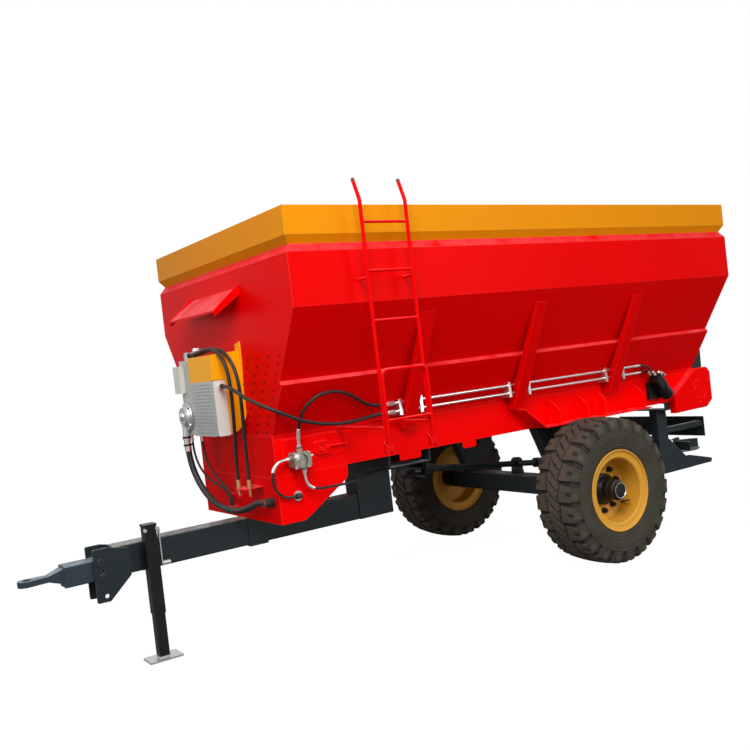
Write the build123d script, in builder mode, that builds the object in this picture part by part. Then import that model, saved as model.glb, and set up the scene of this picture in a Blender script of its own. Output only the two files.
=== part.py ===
from build123d import *
from math import atan2, cos, degrees, radians, sin, tan
import os

# Towed manure spreader: a steel hopper with a chain-and-slat floor on a single axle, and two
# spinning discs at the tail. +X points forward, to the towing eye, +Y to the machine's left and
# +Z up. The origin is on the ground, at half the overall length, on the centre plane.

# ---- Driving dimensions, in millimetres ----
eye_reach = 4095  # axle to the tip of the towing eye
tail_reach = 2010  # axle to the end of the tail arms
axle_x = (tail_reach - eye_reach) / 2

tyre_radius = 556
tyre_width = 400
wheel_y = 966  # centre plane of each wheel
rim_radius = 309

hopper_front = axle_x + 2580  # outer face of the front plate
hopper_rear = axle_x - 1717
hopper_half = 1074.5  # half the width at the brim
brim_z = 2453
knee_z = 2120  # where the upright side turns into the slope
band_seam_z = 2503
band_foot_z = 2556
band_top_z = 2733
wall = 4

rail_half = 600  # outer face of the body sides beside the floor
rail_bottom = 1070
rail_top = 1310
foot_z = 1340  # fold at the bottom of the sloping side
rail_plate = 6
rail_rear = axle_x - 1860

seam_z = 1660
seam_lap = 37.18  # the lower panel stands this much outside the upper one at the seam
lap_run = 15.6  # sideways run of the upper panel between its foot and the seam
slope = (hopper_half - rail_half + seam_lap) / (knee_z - foot_z)  # sideways run for each millimetre down

beam_width = 150
beam_bottom = 570
beam_top = 760
beam_wall = 8
beam_front = axle_x + 3520
column_front = axle_x + 1665
column_length = 300

chain_z = 1215  # shaft height of the floor conveyor
sprocket_radius = 62
front_shaft_x = axle_x + 2235
rear_shaft_x = axle_x - 1735
chain_y = 430

axle_side = 150
hanger_y = 550

spin_x = axle_x - 1740
spin_y = 270
disc_radius = 250
disc_z = 575
vane_height = 78

shaft_slope = 0.12  # rise of the propeller shaft towards the front
shaft_z = 715  # its height above the axle
shaft_radius = 25

ladder_front = axle_x + 2090
ladder_rear = axle_x + 1745
ladder_y = 1180
tube_radius = 12
rung_radius = 9

jack_x = axle_x + 3300
jack_side = 80
eye_z = 640

running = 0.05  # radial clearance of a shaft that turns in its hole
gap = 6  # clearance beside parts that slide or swing


def mirrored(piece):
    """The same piece on the other side of the centre plane."""
    with BuildPart() as twin:
        mirror(piece.part, about=Plane.XZ)
    return twin


def slope_y(z):
    """Outer face of the upper sloping panel at height z."""
    return hopper_half - slope * (knee_z - z)


pieces = {}

# ---- Drawbar: rectangular tube with a doubler under the hopper front, two hitch cheeks at its
# front end, and a box column behind with the cross member that carries it under the rails ----
collar_x = axle_x + 2510
collar_length = 140
cheek_plate = 15
pin_x = axle_x + 3592
pin_z = 465
pin_hole = 14
tongue_bolts = ((axle_x + 3612, 678), (axle_x + 3604, 585))
bolt_boss = 24
cross_depth = 90
cross_front = column_front + 30
cross_rear = column_front - column_length - 30
with BuildPart() as drawbar:
    with BuildSketch(Plane.YZ.offset(column_front)):
        with Locations((0, (beam_bottom + beam_top) / 2)):
            RectangleRounded(beam_width, beam_top - beam_bottom, 12)
            RectangleRounded(beam_width - 2 * beam_wall, beam_top - beam_bottom - 2 * beam_wall, 6,
                             mode=Mode.SUBTRACT)
    extrude(amount=beam_front - column_front)
    with BuildSketch(Plane.YZ.offset(collar_x - collar_length / 2)):
        with Locations((0, (beam_bottom + beam_top) / 2 - 5)):
            Rectangle(beam_width + 16, beam_top - beam_bottom + 10)
            Rectangle(beam_width, beam_top - beam_bottom + 10 - 16, mode=Mode.SUBTRACT)
        with Locations((0, (beam_bottom + beam_top) / 2)):
            RectangleRounded(beam_width, beam_top - beam_bottom, 12, mode=Mode.SUBTRACT)
    extrude(amount=collar_length)
    with BuildSketch(Plane.XZ.offset(-beam_width / 2)):
        with BuildLine():
            FilletPolyline((axle_x + 3425, 738), (axle_x + 3560, 768), (axle_x + 3654, 768),
                           (axle_x + 3656, 430), (axle_x + 3574, 428), (axle_x + 3425, 565),
                           close=True, radius=10)
        make_face()
        with Locations((pin_x, pin_z)):
            Circle(pin_hole, mode=Mode.SUBTRACT)
        with Locations((pin_x + 8, 625)):
            Circle(9, mode=Mode.SUBTRACT)
    extrude(amount=-cheek_plate)
    with BuildSketch(Plane.XZ.offset(-beam_width / 2 - cheek_plate)):
        with Locations(*tongue_bolts):
            Circle(bolt_boss)
    extrude(amount=-9)
    mirror(about=Plane.XZ)
    with BuildSketch(Plane.XY.offset(beam_bottom)):
        with Locations((column_front - column_length / 2, 0)):
            Rectangle(column_length, beam_width + 20)
            Rectangle(column_length - 2 * beam_wall, beam_width + 20 - 2 * beam_wall,
                      mode=Mode.SUBTRACT)
    extrude(amount=rail_bottom - cross_depth - beam_bottom)
    with BuildSketch(Plane.XZ.offset(rail_half - rail_plate)):
        with BuildLine():
            Polyline((cross_front, rail_bottom), (cross_front, rail_bottom - cross_depth),
                     (cross_rear, rail_bottom - cross_depth), (cross_rear, rail_bottom),
                     (cross_rear + beam_wall, rail_bottom),
                     (cross_rear + beam_wall, rail_bottom - cross_depth + beam_wall),
                     (cross_front - beam_wall, rail_bottom - cross_depth + beam_wall),
                     (cross_front - beam_wall, rail_bottom), close=True)
        make_face()
    extrude(amount=-2 * (rail_half - rail_plate))
pieces["drawbar"] = drawbar

# ---- Towing eye: square tongue drawn down to a flat forged ring ----
tongue_half = beam_width / 2 - 5
eye_radius = 56
eye_hole = 26
eye_thickness = 36
neck_x = axle_x + 3830
eye_x = axle_x + eye_reach - eye_radius
with BuildPart() as hitch_eye:
    with BuildSketch(Plane.YZ.offset(beam_front + gap)):
        with Locations((0, eye_z - 6)):
            RectangleRounded(2 * tongue_half, 134, 10)
    extrude(amount=neck_x - beam_front - gap)
    with BuildSketch(Plane.XZ.offset(tongue_half)):
        with Locations(*tongue_bolts):
            Circle(bolt_boss + 4)
    extrude(amount=5)
    with BuildSketch(Plane.XZ.offset(-tongue_half)):
        with Locations(*tongue_bolts):
            Circle(bolt_boss + 4)
    extrude(amount=-5)
    with BuildSketch(Plane.YZ.offset(neck_x)):
        with Locations((0, eye_z)):
            Rectangle(110, 96)
    with BuildSketch(Plane.YZ.offset(neck_x + 90)):
        with Locations((0, eye_z)):
            Rectangle(74, eye_thickness)
    loft()
    with BuildSketch(Plane.XY.offset(eye_z - eye_thickness / 2)):
        with BuildLine():
            Polyline((neck_x + 90, -37), (neck_x + 90, 37), (eye_x, eye_radius), (eye_x, -eye_radius),
                     close=True)
        make_face()
        with Locations((eye_x, 0)):
            Circle(eye_radius)
            Circle(eye_hole, mode=Mode.SUBTRACT)
    extrude(amount=eye_thickness)
pieces["hitch_eye"] = hitch_eye

# ---- Parking jack: square outer tube on a bracket, folded crank, sliding leg with a foot pad ----
jack_y = beam_width / 2 + 25 + jack_side / 2
jack_bottom = 294
jack_top = 858
jack_wall = 5
leg_side = jack_side - 2 * jack_wall - 0.6
pad_thickness = 12
with BuildPart() as jack_tube:
    with BuildSketch(Plane.XY.offset(jack_bottom)):
        with Locations((jack_x, jack_y)):
            RectangleRounded(jack_side, jack_side, 8)
            Rectangle(jack_side - 2 * jack_wall, jack_side - 2 * jack_wall, mode=Mode.SUBTRACT)
    extrude(amount=jack_top - jack_bottom)
    with BuildSketch(Plane.XY.offset(jack_top)):
        with Locations((jack_x, jack_y)):
            RectangleRounded(jack_side + 8, jack_side + 8, 8)
    extrude(amount=14)
    with BuildSketch(Plane.XZ.offset(-beam_width / 2)):
        with Locations((jack_x, beam_bottom + 80)):
            Rectangle(110, 150)
    extrude(amount=-25)
pieces["jack_tube"] = jack_tube

crank_x = jack_x - jack_side / 2
with BuildPart() as jack_crank:
    with BuildSketch(Plane.YZ.offset(crank_x)):
        with Locations((jack_y + 20, jack_top - 26)):
            Circle(13)
    extrude(amount=-24)
    with BuildSketch(Plane.XY.offset(jack_top - 26 - 232)):
        with Locations((crank_x - 17, jack_y + 20)):
            RectangleRounded(10, 26, 4)
    extrude(amount=245)
    with BuildSketch(Plane.YZ.offset(crank_x - 22)):
        with Locations((jack_y + 20, jack_top - 26 - 225)):
            Circle(15)
    extrude(amount=-48)
pieces["jack_crank"] = jack_crank

with BuildPart() as jack_leg:
    with BuildSketch():
        with Locations((jack_x, jack_y)):
            RectangleRounded(220, 150, 10)
    extrude(amount=pad_thickness)
    with BuildSketch(Plane.XY.offset(pad_thickness)):
        with Locations((jack_x, jack_y)):
            RectangleRounded(leg_side, leg_side, 6)
            Rectangle(leg_side - 10, leg_side - 10, mode=Mode.SUBTRACT)
    extrude(amount=jack_bottom + 180)
pieces["jack_leg"] = jack_leg

# ---- Line of the propeller shaft ----
shaft_angle = degrees(atan2(shaft_slope, 1))
along = Vector(cos(radians(shaft_angle)), 0, sin(radians(shaft_angle)))
input_x = spin_x + 145
motor_x = axle_x + 990
stub = 16
stub_grip = 36


def on_shaft(x):
    """The point of the shaft's centre line at x."""
    return Vector(x, 0, shaft_z + shaft_slope * (x - axle_x))


# ---- Axle: square tube with a stub at each end that the hub turns on, and on top the pillow
# bearing of the propeller shaft ----
stub_radius = 42
stub_end = wheel_y + 95
axle_top = tyre_radius + axle_side / 2
bearing_x = axle_x - 20
with BuildPart() as axle:
    with BuildSketch(Plane.XZ.offset(wheel_y - 190)):
        with Locations((axle_x, tyre_radius)):
            RectangleRounded(axle_side, axle_side, 10)
    extrude(amount=-2 * (wheel_y - 190))
    with BuildSketch(Plane.XZ.offset(stub_end)):
        with Locations((axle_x, tyre_radius)):
            Circle(stub_radius)
    extrude(amount=-2 * stub_end)
    with BuildSketch(Plane(origin=on_shaft(bearing_x) - along * 24, z_dir=along, x_dir=(0, 1, 0))):
        Circle(56)
    extrude(amount=48)
    with BuildSketch(Plane.YZ.offset(bearing_x - 22)):
        Polygon((-60, axle_top - 4), (60, axle_top - 4), (40, shaft_z), (-40, shaft_z), align=None)
    extrude(amount=44)
    with BuildSketch(Plane(origin=on_shaft(bearing_x) - along * 60, z_dir=along, x_dir=(0, 1, 0))):
        Circle(shaft_radius + running)
    extrude(amount=120, mode=Mode.SUBTRACT)
pieces["axle"] = axle

# ---- Axle hangers: tapered box brackets between the rails and the axle ----
hanger_width = 80
hanger_plate = 10
with BuildPart() as hangers:
    with BuildSketch(Plane.XZ.offset(-hanger_y - hanger_width / 2)):
        Polygon((axle_x - 280, rail_bottom), (axle_x + 280, rail_bottom), (axle_x + 95, axle_top),
                (axle_x - 95, axle_top), align=None)
    extrude(amount=hanger_width)
    with BuildSketch(Plane.XZ.offset(-hanger_y - hanger_width / 2 + hanger_plate)):
        Polygon((axle_x - 262, rail_bottom - 12), (axle_x + 262, rail_bottom - 12),
                (axle_x + 140, axle_top + 140), (axle_x - 140, axle_top + 140), align=None)
    extrude(amount=hanger_width - 2 * hanger_plate, mode=Mode.SUBTRACT)
    with BuildSketch(Plane.XZ.offset(-hanger_y - hanger_width)):
        with Locations((axle_x, rail_bottom - 170)):
            Circle(55)
    extrude(amount=2 * hanger_width, mode=Mode.SUBTRACT)
    mirror(about=Plane.XZ)
pieces["axle_hangers"] = hangers

# ---- Body sides beside the floor: folded channels, open inwards, with a gusseted shelf over
# each wheel ----
rail_flange = 60
shelf_reach = 142
with BuildPart() as rail:
    with BuildSketch(Plane.YZ.offset(rail_rear)):
        Polygon((rail_half, rail_bottom), (rail_half, rail_top), (rail_half - rail_plate, rail_top),
                (rail_half - rail_plate, rail_bottom + rail_plate),
                (rail_half - rail_flange, rail_bottom + rail_plate), (rail_half - rail_flange, rail_bottom),
                align=None)
    extrude(amount=hopper_front - wall - rail_rear)
    shaft_clearance = 24
    with BuildSketch(Plane.XZ.offset(-rail_half)):
        with Locations((front_shaft_x, chain_z), (rear_shaft_x, chain_z)):
            Circle(shaft_clearance + running)
    extrude(amount=rail_plate, mode=Mode.SUBTRACT)
    shelf_line = ((axle_x - 950, rail_bottom), (axle_x + 300, rail_bottom), (axle_x + 512, 1238),
                  (axle_x + 507, 1246), (axle_x + 297, rail_bottom + 8), (axle_x - 950, rail_bottom + 8))
    with BuildSketch(Plane.XZ.offset(-rail_half)):
        Polygon(*shelf_line, align=None)
    extrude(amount=-shelf_reach)
    for gusset_x, gusset_lean in ((100, 22), (-220, 24), (-400, -40), (-900, 0)):
        foot_x = axle_x + gusset_x
        with BuildSketch(Plane.XZ.offset(-rail_half)):
            Polygon((foot_x, rail_bottom), (foot_x + 7, rail_bottom), (foot_x + 7 + gusset_lean, 1268),
                    (foot_x + gusset_lean, 1268), align=None)
        extrude(amount=-shelf_reach + 30)
    for tab_rear, tab_front in ((1418, 1605), (900, 1030)):
        with BuildSketch(Plane.XZ.offset(-rail_half)):
            Polygon((axle_x + tab_rear, rail_bottom), (axle_x + tab_rear, 1032),
                    (axle_x + tab_rear + 12, 1020), (axle_x + tab_front - 12, 1020),
                    (axle_x + tab_front, 1032), (axle_x + tab_front, rail_bottom), align=None)
        extrude(amount=rail_plate)
    with BuildSketch(Plane.YZ.offset(axle_x - 960)):
        Polygon((rail_half + 40, 1300), (rail_half + 40, 1262), (rail_half + shelf_reach + 10, 1150),
                (rail_half + shelf_reach + 10, 1300), align=None)
    extrude(amount=1300, mode=Mode.SUBTRACT)
pieces["rail_left"] = rail
pieces["rail_right"] = mirrored(rail)

# ---- Floor sheet that the slats drag the load over ----
floor_top = chain_z + sprocket_radius - 12
floor_plate = 5
with BuildPart() as floor:
    with BuildSketch(Plane.XY.offset(floor_top - floor_plate)):
        with Locations(((front_shaft_x + rear_shaft_x) / 2, 0)):
            Rectangle(front_shaft_x - rear_shaft_x - 150, 2 * (rail_half - rail_plate))
    extrude(amount=floor_plate)
    joist_count = 6
    joist_pitch = (front_shaft_x - rear_shaft_x - 500) / (joist_count - 1)
    for joist in range(joist_count):
        with BuildSketch(Plane.YZ.offset(rear_shaft_x + 220 + joist * joist_pitch)):
            with Locations((0, floor_top - floor_plate - 25)):
                Rectangle(2 * (rail_half - rail_plate), 50)
        extrude(amount=8)
pieces["floor"] = floor

# ---- Conveyor shafts: a through shaft with a toothed sprocket under each chain ----
teeth = 8
sprocket_width = 20
for name, shaft_x, shaft_end in (("shaft_front", front_shaft_x, rail_half + 22),
                                 ("shaft_rear", rear_shaft_x, rail_half + 30)):
    with BuildPart() as shaft:
        with BuildSketch(Plane.XZ.offset(-shaft_end)):
            with Locations((shaft_x, chain_z)):
                Circle(24)
        extrude(amount=2 * shaft_end)
        for side in (-1, 1):
            with BuildSketch(Plane.XZ.offset(side * chain_y - sprocket_width / 2)):
                with Locations((shaft_x, chain_z)):
                    Circle(sprocket_radius - 14)
                with Locations((shaft_x, chain_z)):
                    with PolarLocations(sprocket_radius - 20, teeth):
                        Trapezoid(26, 40, 72, rotation=-90)
            extrude(amount=sprocket_width)
    pieces[name] = shaft

# ---- Chain and slats: channel slats on two chains that run round the sprockets ----
slat_pitch = 300
strand_half = 9  # half the height of the chain
chain_width = 16
chain_play = 0.4  # between a chain and the side of its sprocket
slat_depth = 14
slat_length = 2 * chain_y + 90
run_length = front_shaft_x - rear_shaft_x
loop_out = sprocket_radius + strand_half
with BuildPart() as chains:
    for side in (-1, 1):
        chain_side = side * (chain_y + sprocket_width / 2 + chain_width / 2 + chain_play)
        with BuildSketch(Plane.XZ.offset(-chain_side - chain_width / 2)):
            with Locations(((front_shaft_x + rear_shaft_x) / 2, chain_z)):
                SlotCenterToCenter(run_length, 2 * loop_out)
                SlotCenterToCenter(run_length, 2 * (sprocket_radius - strand_half), mode=Mode.SUBTRACT)
        extrude(amount=chain_width)
    slat_count = int(run_length // slat_pitch)
    for slat in range(slat_count + 1):
        slat_x = rear_shaft_x + (run_length - slat_count * slat_pitch) / 2 + slat * slat_pitch
        for face_z, rise in ((chain_z + loop_out, slat_depth), (chain_z - loop_out, -slat_depth)):
            with BuildSketch(Plane.YZ.offset(slat_x - 20)):
                with Locations((0, face_z + rise / 2)):
                    Rectangle(slat_length, slat_depth)
            extrude(amount=40)
            with BuildSketch(Plane.YZ.offset(slat_x - 14)):
                with Locations((0, face_z + (rise - 8 if rise > 0 else rise + 8) / 2)):
                    Rectangle(slat_length, slat_depth - 8 + 0.01)
            extrude(amount=28, mode=Mode.SUBTRACT)
pieces["chain_floor"] = chains

# ---- Hopper sides: one folded upper panel, and a lower panel lapped outside it ----
lap_z = seam_z + lap_run / slope
side_outline = (
    # sideways, height
    (hopper_half, brim_z),
    (hopper_half, knee_z),
    (slope_y(lap_z), lap_z),
    (rail_half + slope * (seam_z - foot_z), seam_z),
    (rail_half, foot_z),
    (rail_half, rail_top),
)
with BuildPart() as side_panel:
    with BuildSketch(Plane.YZ.offset(hopper_rear + wall)):
        with BuildLine():
            Polyline(*side_outline)
            offset(amount=wall, side=Side.RIGHT, closed=True)
        make_face()
    extrude(amount=hopper_front - hopper_rear - 2 * wall)
pieces["side_left"] = side_panel
pieces["side_right"] = mirrored(side_panel)

# ---- Front plate: closes the hopper and runs down to the drawbar ----
front_outline = side_outline[:-1] + ((rail_half, beam_top),)
suction_y = 510
suction_z = 905
suction_elbow = 26
pump_block = (-77, 822)  # across, up
with BuildPart() as front_plate:
    with BuildSketch(Plane.YZ.offset(hopper_front - wall)):
        Polygon(*front_outline, *((-y, z) for y, z in reversed(front_outline)), align=None)
    extrude(amount=wall)
    with BuildSketch(Plane.YZ.offset(hopper_front)):
        with Locations((suction_y, suction_z)):
            Circle(suction_elbow)
    extrude(amount=72)
    with BuildSketch(Plane.XZ.offset(-suction_y)):
        with Locations((hopper_front + 46, suction_z)):
            Circle(suction_elbow)
    extrude(amount=35)
    with BuildSketch(Plane.YZ.offset(hopper_front)):
        with Locations(pump_block):
            RectangleRounded(90, 36, 6)
    extrude(amount=54)
    with BuildSketch(Plane.YZ.offset(hopper_front)):
        with Locations((-40, 912)):
            RectangleRounded(170, 26, 8)
        with Locations((-20, 936)):
            Circle(16)
    extrude(amount=18)
    for fold_z in (foot_z - 6, rail_bottom - 10):
        with BuildSketch(Plane.YZ.offset(hopper_front)):
            with Locations((0, fold_z)):
                Rectangle(2 * rail_half, 8)
        extrude(amount=3)
pieces["front_plate"] = front_plate

# ---- Rear plate with the discharge mouth above the floor, and the guides of the gate ----
mouth_half = 440
mouth_top = 1690
gate_half = mouth_half + 32
guide_depth = 26
guide_top = 2040
with BuildPart() as rear_plate:
    with BuildSketch(Plane.YZ.offset(hopper_rear)):
        Polygon(*side_outline, *((-y, z) for y, z in reversed(side_outline)), align=None)
        with BuildLine():
            Polyline((-mouth_half, rail_top), (-mouth_half, mouth_top), (mouth_half, mouth_top),
                     (mouth_half, rail_top), close=True)
        make_face(mode=Mode.SUBTRACT)
    extrude(amount=wall)
    with BuildSketch(Plane.XY.offset(rail_top)):
        Polygon((hopper_rear, gate_half + 3), (hopper_rear, gate_half + 29),
                (hopper_rear - guide_depth, gate_half + 29), (hopper_rear - guide_depth, gate_half - 20),
                (hopper_rear - guide_depth + 8, gate_half - 20),
                (hopper_rear - guide_depth + 8, gate_half + 3),
                align=None)
    extrude(amount=guide_top - rail_top)
    mirror(about=Plane.XZ)
pieces["rear_plate"] = rear_plate

# ---- Discharge gate, a stiffened plate that slides in the guides ----
gate_plate = 5
gate_bottom = chain_z + loop_out + slat_depth + gap
gate_top = mouth_top + 40
gate_x = hopper_rear - 3 - gate_plate
with BuildPart() as gate:
    with BuildSketch(Plane.YZ.offset(gate_x)):
        with Locations((0, (gate_bottom + gate_top) / 2)):
            Rectangle(2 * gate_half, gate_top - gate_bottom)
    extrude(amount=gate_plate)
    for rib_z in (gate_bottom + 30, gate_top - 60):
        with BuildSketch(Plane.YZ.offset(gate_x)):
            with Locations((0, rib_z)):
                Rectangle(2 * mouth_half - 40, 34)
        extrude(amount=-26)
pieces["gate"] = gate

lift_x = gate_x - 45
lift_bottom = guide_top + 10
lift_length = 350
with BuildPart() as lift_barrel:
    with BuildSketch(Plane.XY.offset(lift_bottom)):
        with Locations((lift_x, 0)):
            Circle(27)
            Circle(16 + running, mode=Mode.SUBTRACT)
    extrude(amount=lift_length)
    with BuildSketch(Plane.XY.offset(lift_bottom + lift_length)):
        with Locations((lift_x, 0)):
            Circle(27)
    extrude(amount=20)
    for bracket_z in (lift_bottom + 30, lift_bottom + lift_length - 50):
        with BuildSketch(Plane.XY.offset(bracket_z)):
            with BuildLine():
                Polyline((hopper_rear, -45), (hopper_rear, 45), (lift_x, 30), (lift_x, -30), close=True)
            make_face()
            with Locations((lift_x, 0)):
                Circle(20, mode=Mode.SUBTRACT)
        extrude(amount=16)
pieces["lift_barrel"] = lift_barrel

with BuildPart() as lift_rod:
    with BuildSketch(Plane.XY.offset(gate_top - 43)):
        with Locations((lift_x, 0)):
            Circle(16)
    extrude(amount=lift_bottom - gate_top + 43 + 40)
    with BuildSketch(Plane.YZ.offset(gate_x - 26)):
        with Locations((0, gate_top - 60)):
            Rectangle(60, 34)
    extrude(amount=-40)
pieces["lift_rod"] = lift_rod

# ---- Brim and extension band: rings round the mouth of the hopper, each folded in at the seam ----
band_inset = 35
seam_flange = 60  # how far in the two bolted flanges reach


def mouth_rectangle(inset):
    with Locations(((hopper_front + hopper_rear) / 2, 0)):
        Rectangle(hopper_front - hopper_rear - 2 * inset, 2 * (hopper_half - inset))


with BuildPart() as brim:
    for skin, mode, top in ((0, Mode.ADD, band_seam_z), (wall, Mode.SUBTRACT, band_seam_z - wall)):
        with BuildSketch(Plane.XY.offset(brim_z)):
            mouth_rectangle(skin)
        with BuildSketch(Plane.XY.offset(top)):
            mouth_rectangle(band_inset + skin)
        loft(mode=mode)
    with BuildSketch(Plane.XY.offset(brim_z)):
        mouth_rectangle(seam_flange)
    extrude(amount=band_seam_z - brim_z, mode=Mode.SUBTRACT)
pieces["brim"] = brim

with BuildPart() as band:
    for skin, mode, foot in ((0, Mode.ADD, band_seam_z), (wall, Mode.SUBTRACT, band_seam_z + wall)):
        with BuildSketch(Plane.XY.offset(foot)):
            mouth_rectangle(band_inset + skin)
        with BuildSketch(Plane.XY.offset(band_foot_z)):
            mouth_rectangle(skin)
        loft(mode=mode)
        with BuildSketch(Plane.XY.offset(band_foot_z)):
            mouth_rectangle(skin)
        extrude(amount=band_top_z - band_foot_z - skin, mode=mode)
    with BuildSketch(Plane.XY.offset(band_seam_z)):
        mouth_rectangle(seam_flange)
    extrude(amount=band_foot_z - band_seam_z, mode=Mode.SUBTRACT)
    with BuildSketch(Plane.XY.offset(band_foot_z)):
        mouth_rectangle(28)
    extrude(amount=band_top_z - band_foot_z, mode=Mode.SUBTRACT)
pieces["extension_band"] = band

# ---- Ribs: tapered channels, open at both ends, welded to the sides ----
rib_width = 100
rib_places = (axle_x + 1540, axle_x + 500, axle_x - 570)
rib_foot_z = 1250
rib_top_z = 2035
rib_foot_y = rail_half + 72
rib_top_y = slope_y(rib_top_z) + 26
pipe_radius = 11
pipe_y = 684
pipe_heights = (1437, 1377)


def rib_outline(skin, overrun):
    """The rib seen along the machine: skin thins the web, overrun opens the back and the ends."""
    web_shift = overrun * (rib_top_y - rib_foot_y) / (rib_top_z - rib_foot_z)
    return (
        (rail_half - overrun, rib_foot_z - overrun),
        (rib_foot_y - skin - web_shift, rib_foot_z - overrun),
        (rib_top_y - skin + web_shift, rib_top_z + overrun),
        (slope_y(rib_top_z) - overrun, rib_top_z + overrun),
    )


with BuildPart() as ribs:
    for rib_x in rib_places:
        with BuildSketch(Plane.YZ.offset(rib_x - rib_width / 2)):
            Polygon(*rib_outline(0, 0), align=None)
        extrude(amount=rib_width)
        with BuildSketch(Plane.YZ.offset(rib_x - rib_width / 2 + wall)):
            Polygon(*rib_outline(wall + 1, 60), align=None)
        extrude(amount=rib_width - 2 * wall, mode=Mode.SUBTRACT)
    with BuildSketch(Plane.YZ.offset(hopper_rear)):
        Polygon(*side_outline[:3], (slope_y(lap_z), lap_z), (rail_half + slope * (seam_z - foot_z), seam_z),
                (rail_half, foot_z), (rail_half, 1200), (300, 1200), (300, brim_z), align=None)
    extrude(amount=hopper_front - hopper_rear, mode=Mode.SUBTRACT)
    with BuildSketch(Plane.YZ.offset(hopper_rear)):
        with Locations(*((pipe_y, z) for z in pipe_heights)):
            Circle(pipe_radius + 4)
    extrude(amount=hopper_front - hopper_rear, mode=Mode.SUBTRACT)
    mirror(about=Plane.XZ)
pieces["ribs"] = ribs

# ---- Hood on the front plate: a folded tray with upright ends ----
hood_reach = 190
with BuildPart() as hood:
    with BuildSketch(Plane.XZ.offset(-360)):
        Polygon((hopper_front, 2330), (hopper_front + hood_reach, 2190), (hopper_front + hood_reach, 2176),
                (hopper_front + hood_reach - 4, 2176), (hopper_front + hood_reach - 4, 2187),
                (hopper_front, 2325), align=None)
    extrude(amount=800)
    for end_y in (-440, 357):
        with BuildSketch(Plane.XZ.offset(-end_y)):
            Polygon((hopper_front, 2352), (hopper_front + hood_reach, 2194),
                    (hopper_front + hood_reach, 2150),
                    (hopper_front, 2280), align=None)
        extrude(amount=-3)
pieces["hood"] = hood

# ---- Front cheeks: plates that carry the front of the rails down beside the drawbar; the left
# one has a bulkhead elbow for a hose ----
hose_hole = 32
hose_hole_x = axle_x + 2443
hose_hole_z = 928
with BuildPart() as cheeks:
    with BuildSketch(Plane.XZ.offset(-rail_half)):
        Polygon((hopper_front - wall, beam_top), (axle_x + 2406, beam_top), (axle_x + 2355, beam_top + 28),
                (axle_x + 2060, 975), (axle_x + 2045, 1000), (axle_x + 2040, rail_bottom),
                (hopper_front - wall, rail_bottom), align=None)
        with Locations((hose_hole_x, hose_hole_z)):
            Circle(hose_hole, mode=Mode.SUBTRACT)
    extrude(amount=rail_plate)
    mirror(about=Plane.XZ)
    with BuildSketch(Plane.XZ.offset(-rail_half + rail_plate)):
        with Locations((hose_hole_x, hose_hole_z)):
            Circle(hose_hole)
    extrude(amount=-rail_plate - 3)
    with BuildSketch(Plane.YZ.offset(hose_hole_x - 16)):
        with Locations((rail_half + 24, hose_hole_z)):
            Circle(16)
    extrude(amount=40)
    with BuildSketch(Plane.XZ.offset(-rail_half - 2)):
        with Locations((hose_hole_x, hose_hole_z)):
            Circle(15)
    extrude(amount=-22)
pieces["front_cheeks"] = cheeks

# ---- Chain tensioner: slotted plate on the rail, bearing block and adjusting screw ----
with BuildPart() as tensioner:
    with BuildSketch(Plane.XZ.offset(-rail_half)):
        Polygon((front_shaft_x - 195, 1165), (front_shaft_x + 60, 1140), (front_shaft_x + 285, 1140),
                (front_shaft_x + 285, 1300), (front_shaft_x - 195, 1300), align=None)
        with Locations((front_shaft_x, chain_z)):
            SlotCenterToCenter(60, 2 * 26, mode=Mode.SUBTRACT)
    extrude(amount=-8)
    with BuildSketch(Plane.XZ.offset(-rail_half - 8)):
        with Locations((front_shaft_x, chain_z)):
            RectangleRounded(110, 84, 20)
            Circle(24 + running, mode=Mode.SUBTRACT)
    extrude(amount=-22)
    with BuildSketch(Plane.YZ.offset(front_shaft_x - 180)):
        with Locations((rail_half + 8 + 14, chain_z)):
            Circle(7)
    extrude(amount=125)
    with BuildSketch(Plane.YZ.offset(front_shaft_x - 180)):
        with Locations((rail_half + 8 + 13, chain_z)):
            Rectangle(26, 44)
    extrude(amount=-10)
    mirror(about=Plane.XZ)
pieces["tensioners"] = tensioner

# ---- Rear covers: folded boxes over the bearings and drive of the rear shaft ----
cover_depth = 66
cover_outline = (
    (axle_x - 1360, 968), (axle_x - 1800, 973), (axle_x - 1885, 1035), (axle_x - 1885, 1290),
    (axle_x - 1842, 1334), (axle_x - 1675, 1334), (axle_x - 1360, 1136),
)
with BuildPart() as rear_cover:
    with BuildSketch(Plane.XZ.offset(-rail_half)):
        Polygon(*cover_outline, align=None)
    extrude(amount=-cover_depth)
    outer_face = rear_cover.faces().sort_by(Axis.Y)[-1]
    fillet(outer_face.edges(), 8)
    with BuildSketch(Plane.XZ.offset(-rail_half)):
        with BuildLine():
            Polyline(*cover_outline, close=True)
        make_face()
        offset(amount=-wall, mode=Mode.REPLACE)
    extrude(amount=-(cover_depth - wall), mode=Mode.SUBTRACT)
    mirror(about=Plane.XZ)
pieces["rear_covers"] = rear_cover

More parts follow.
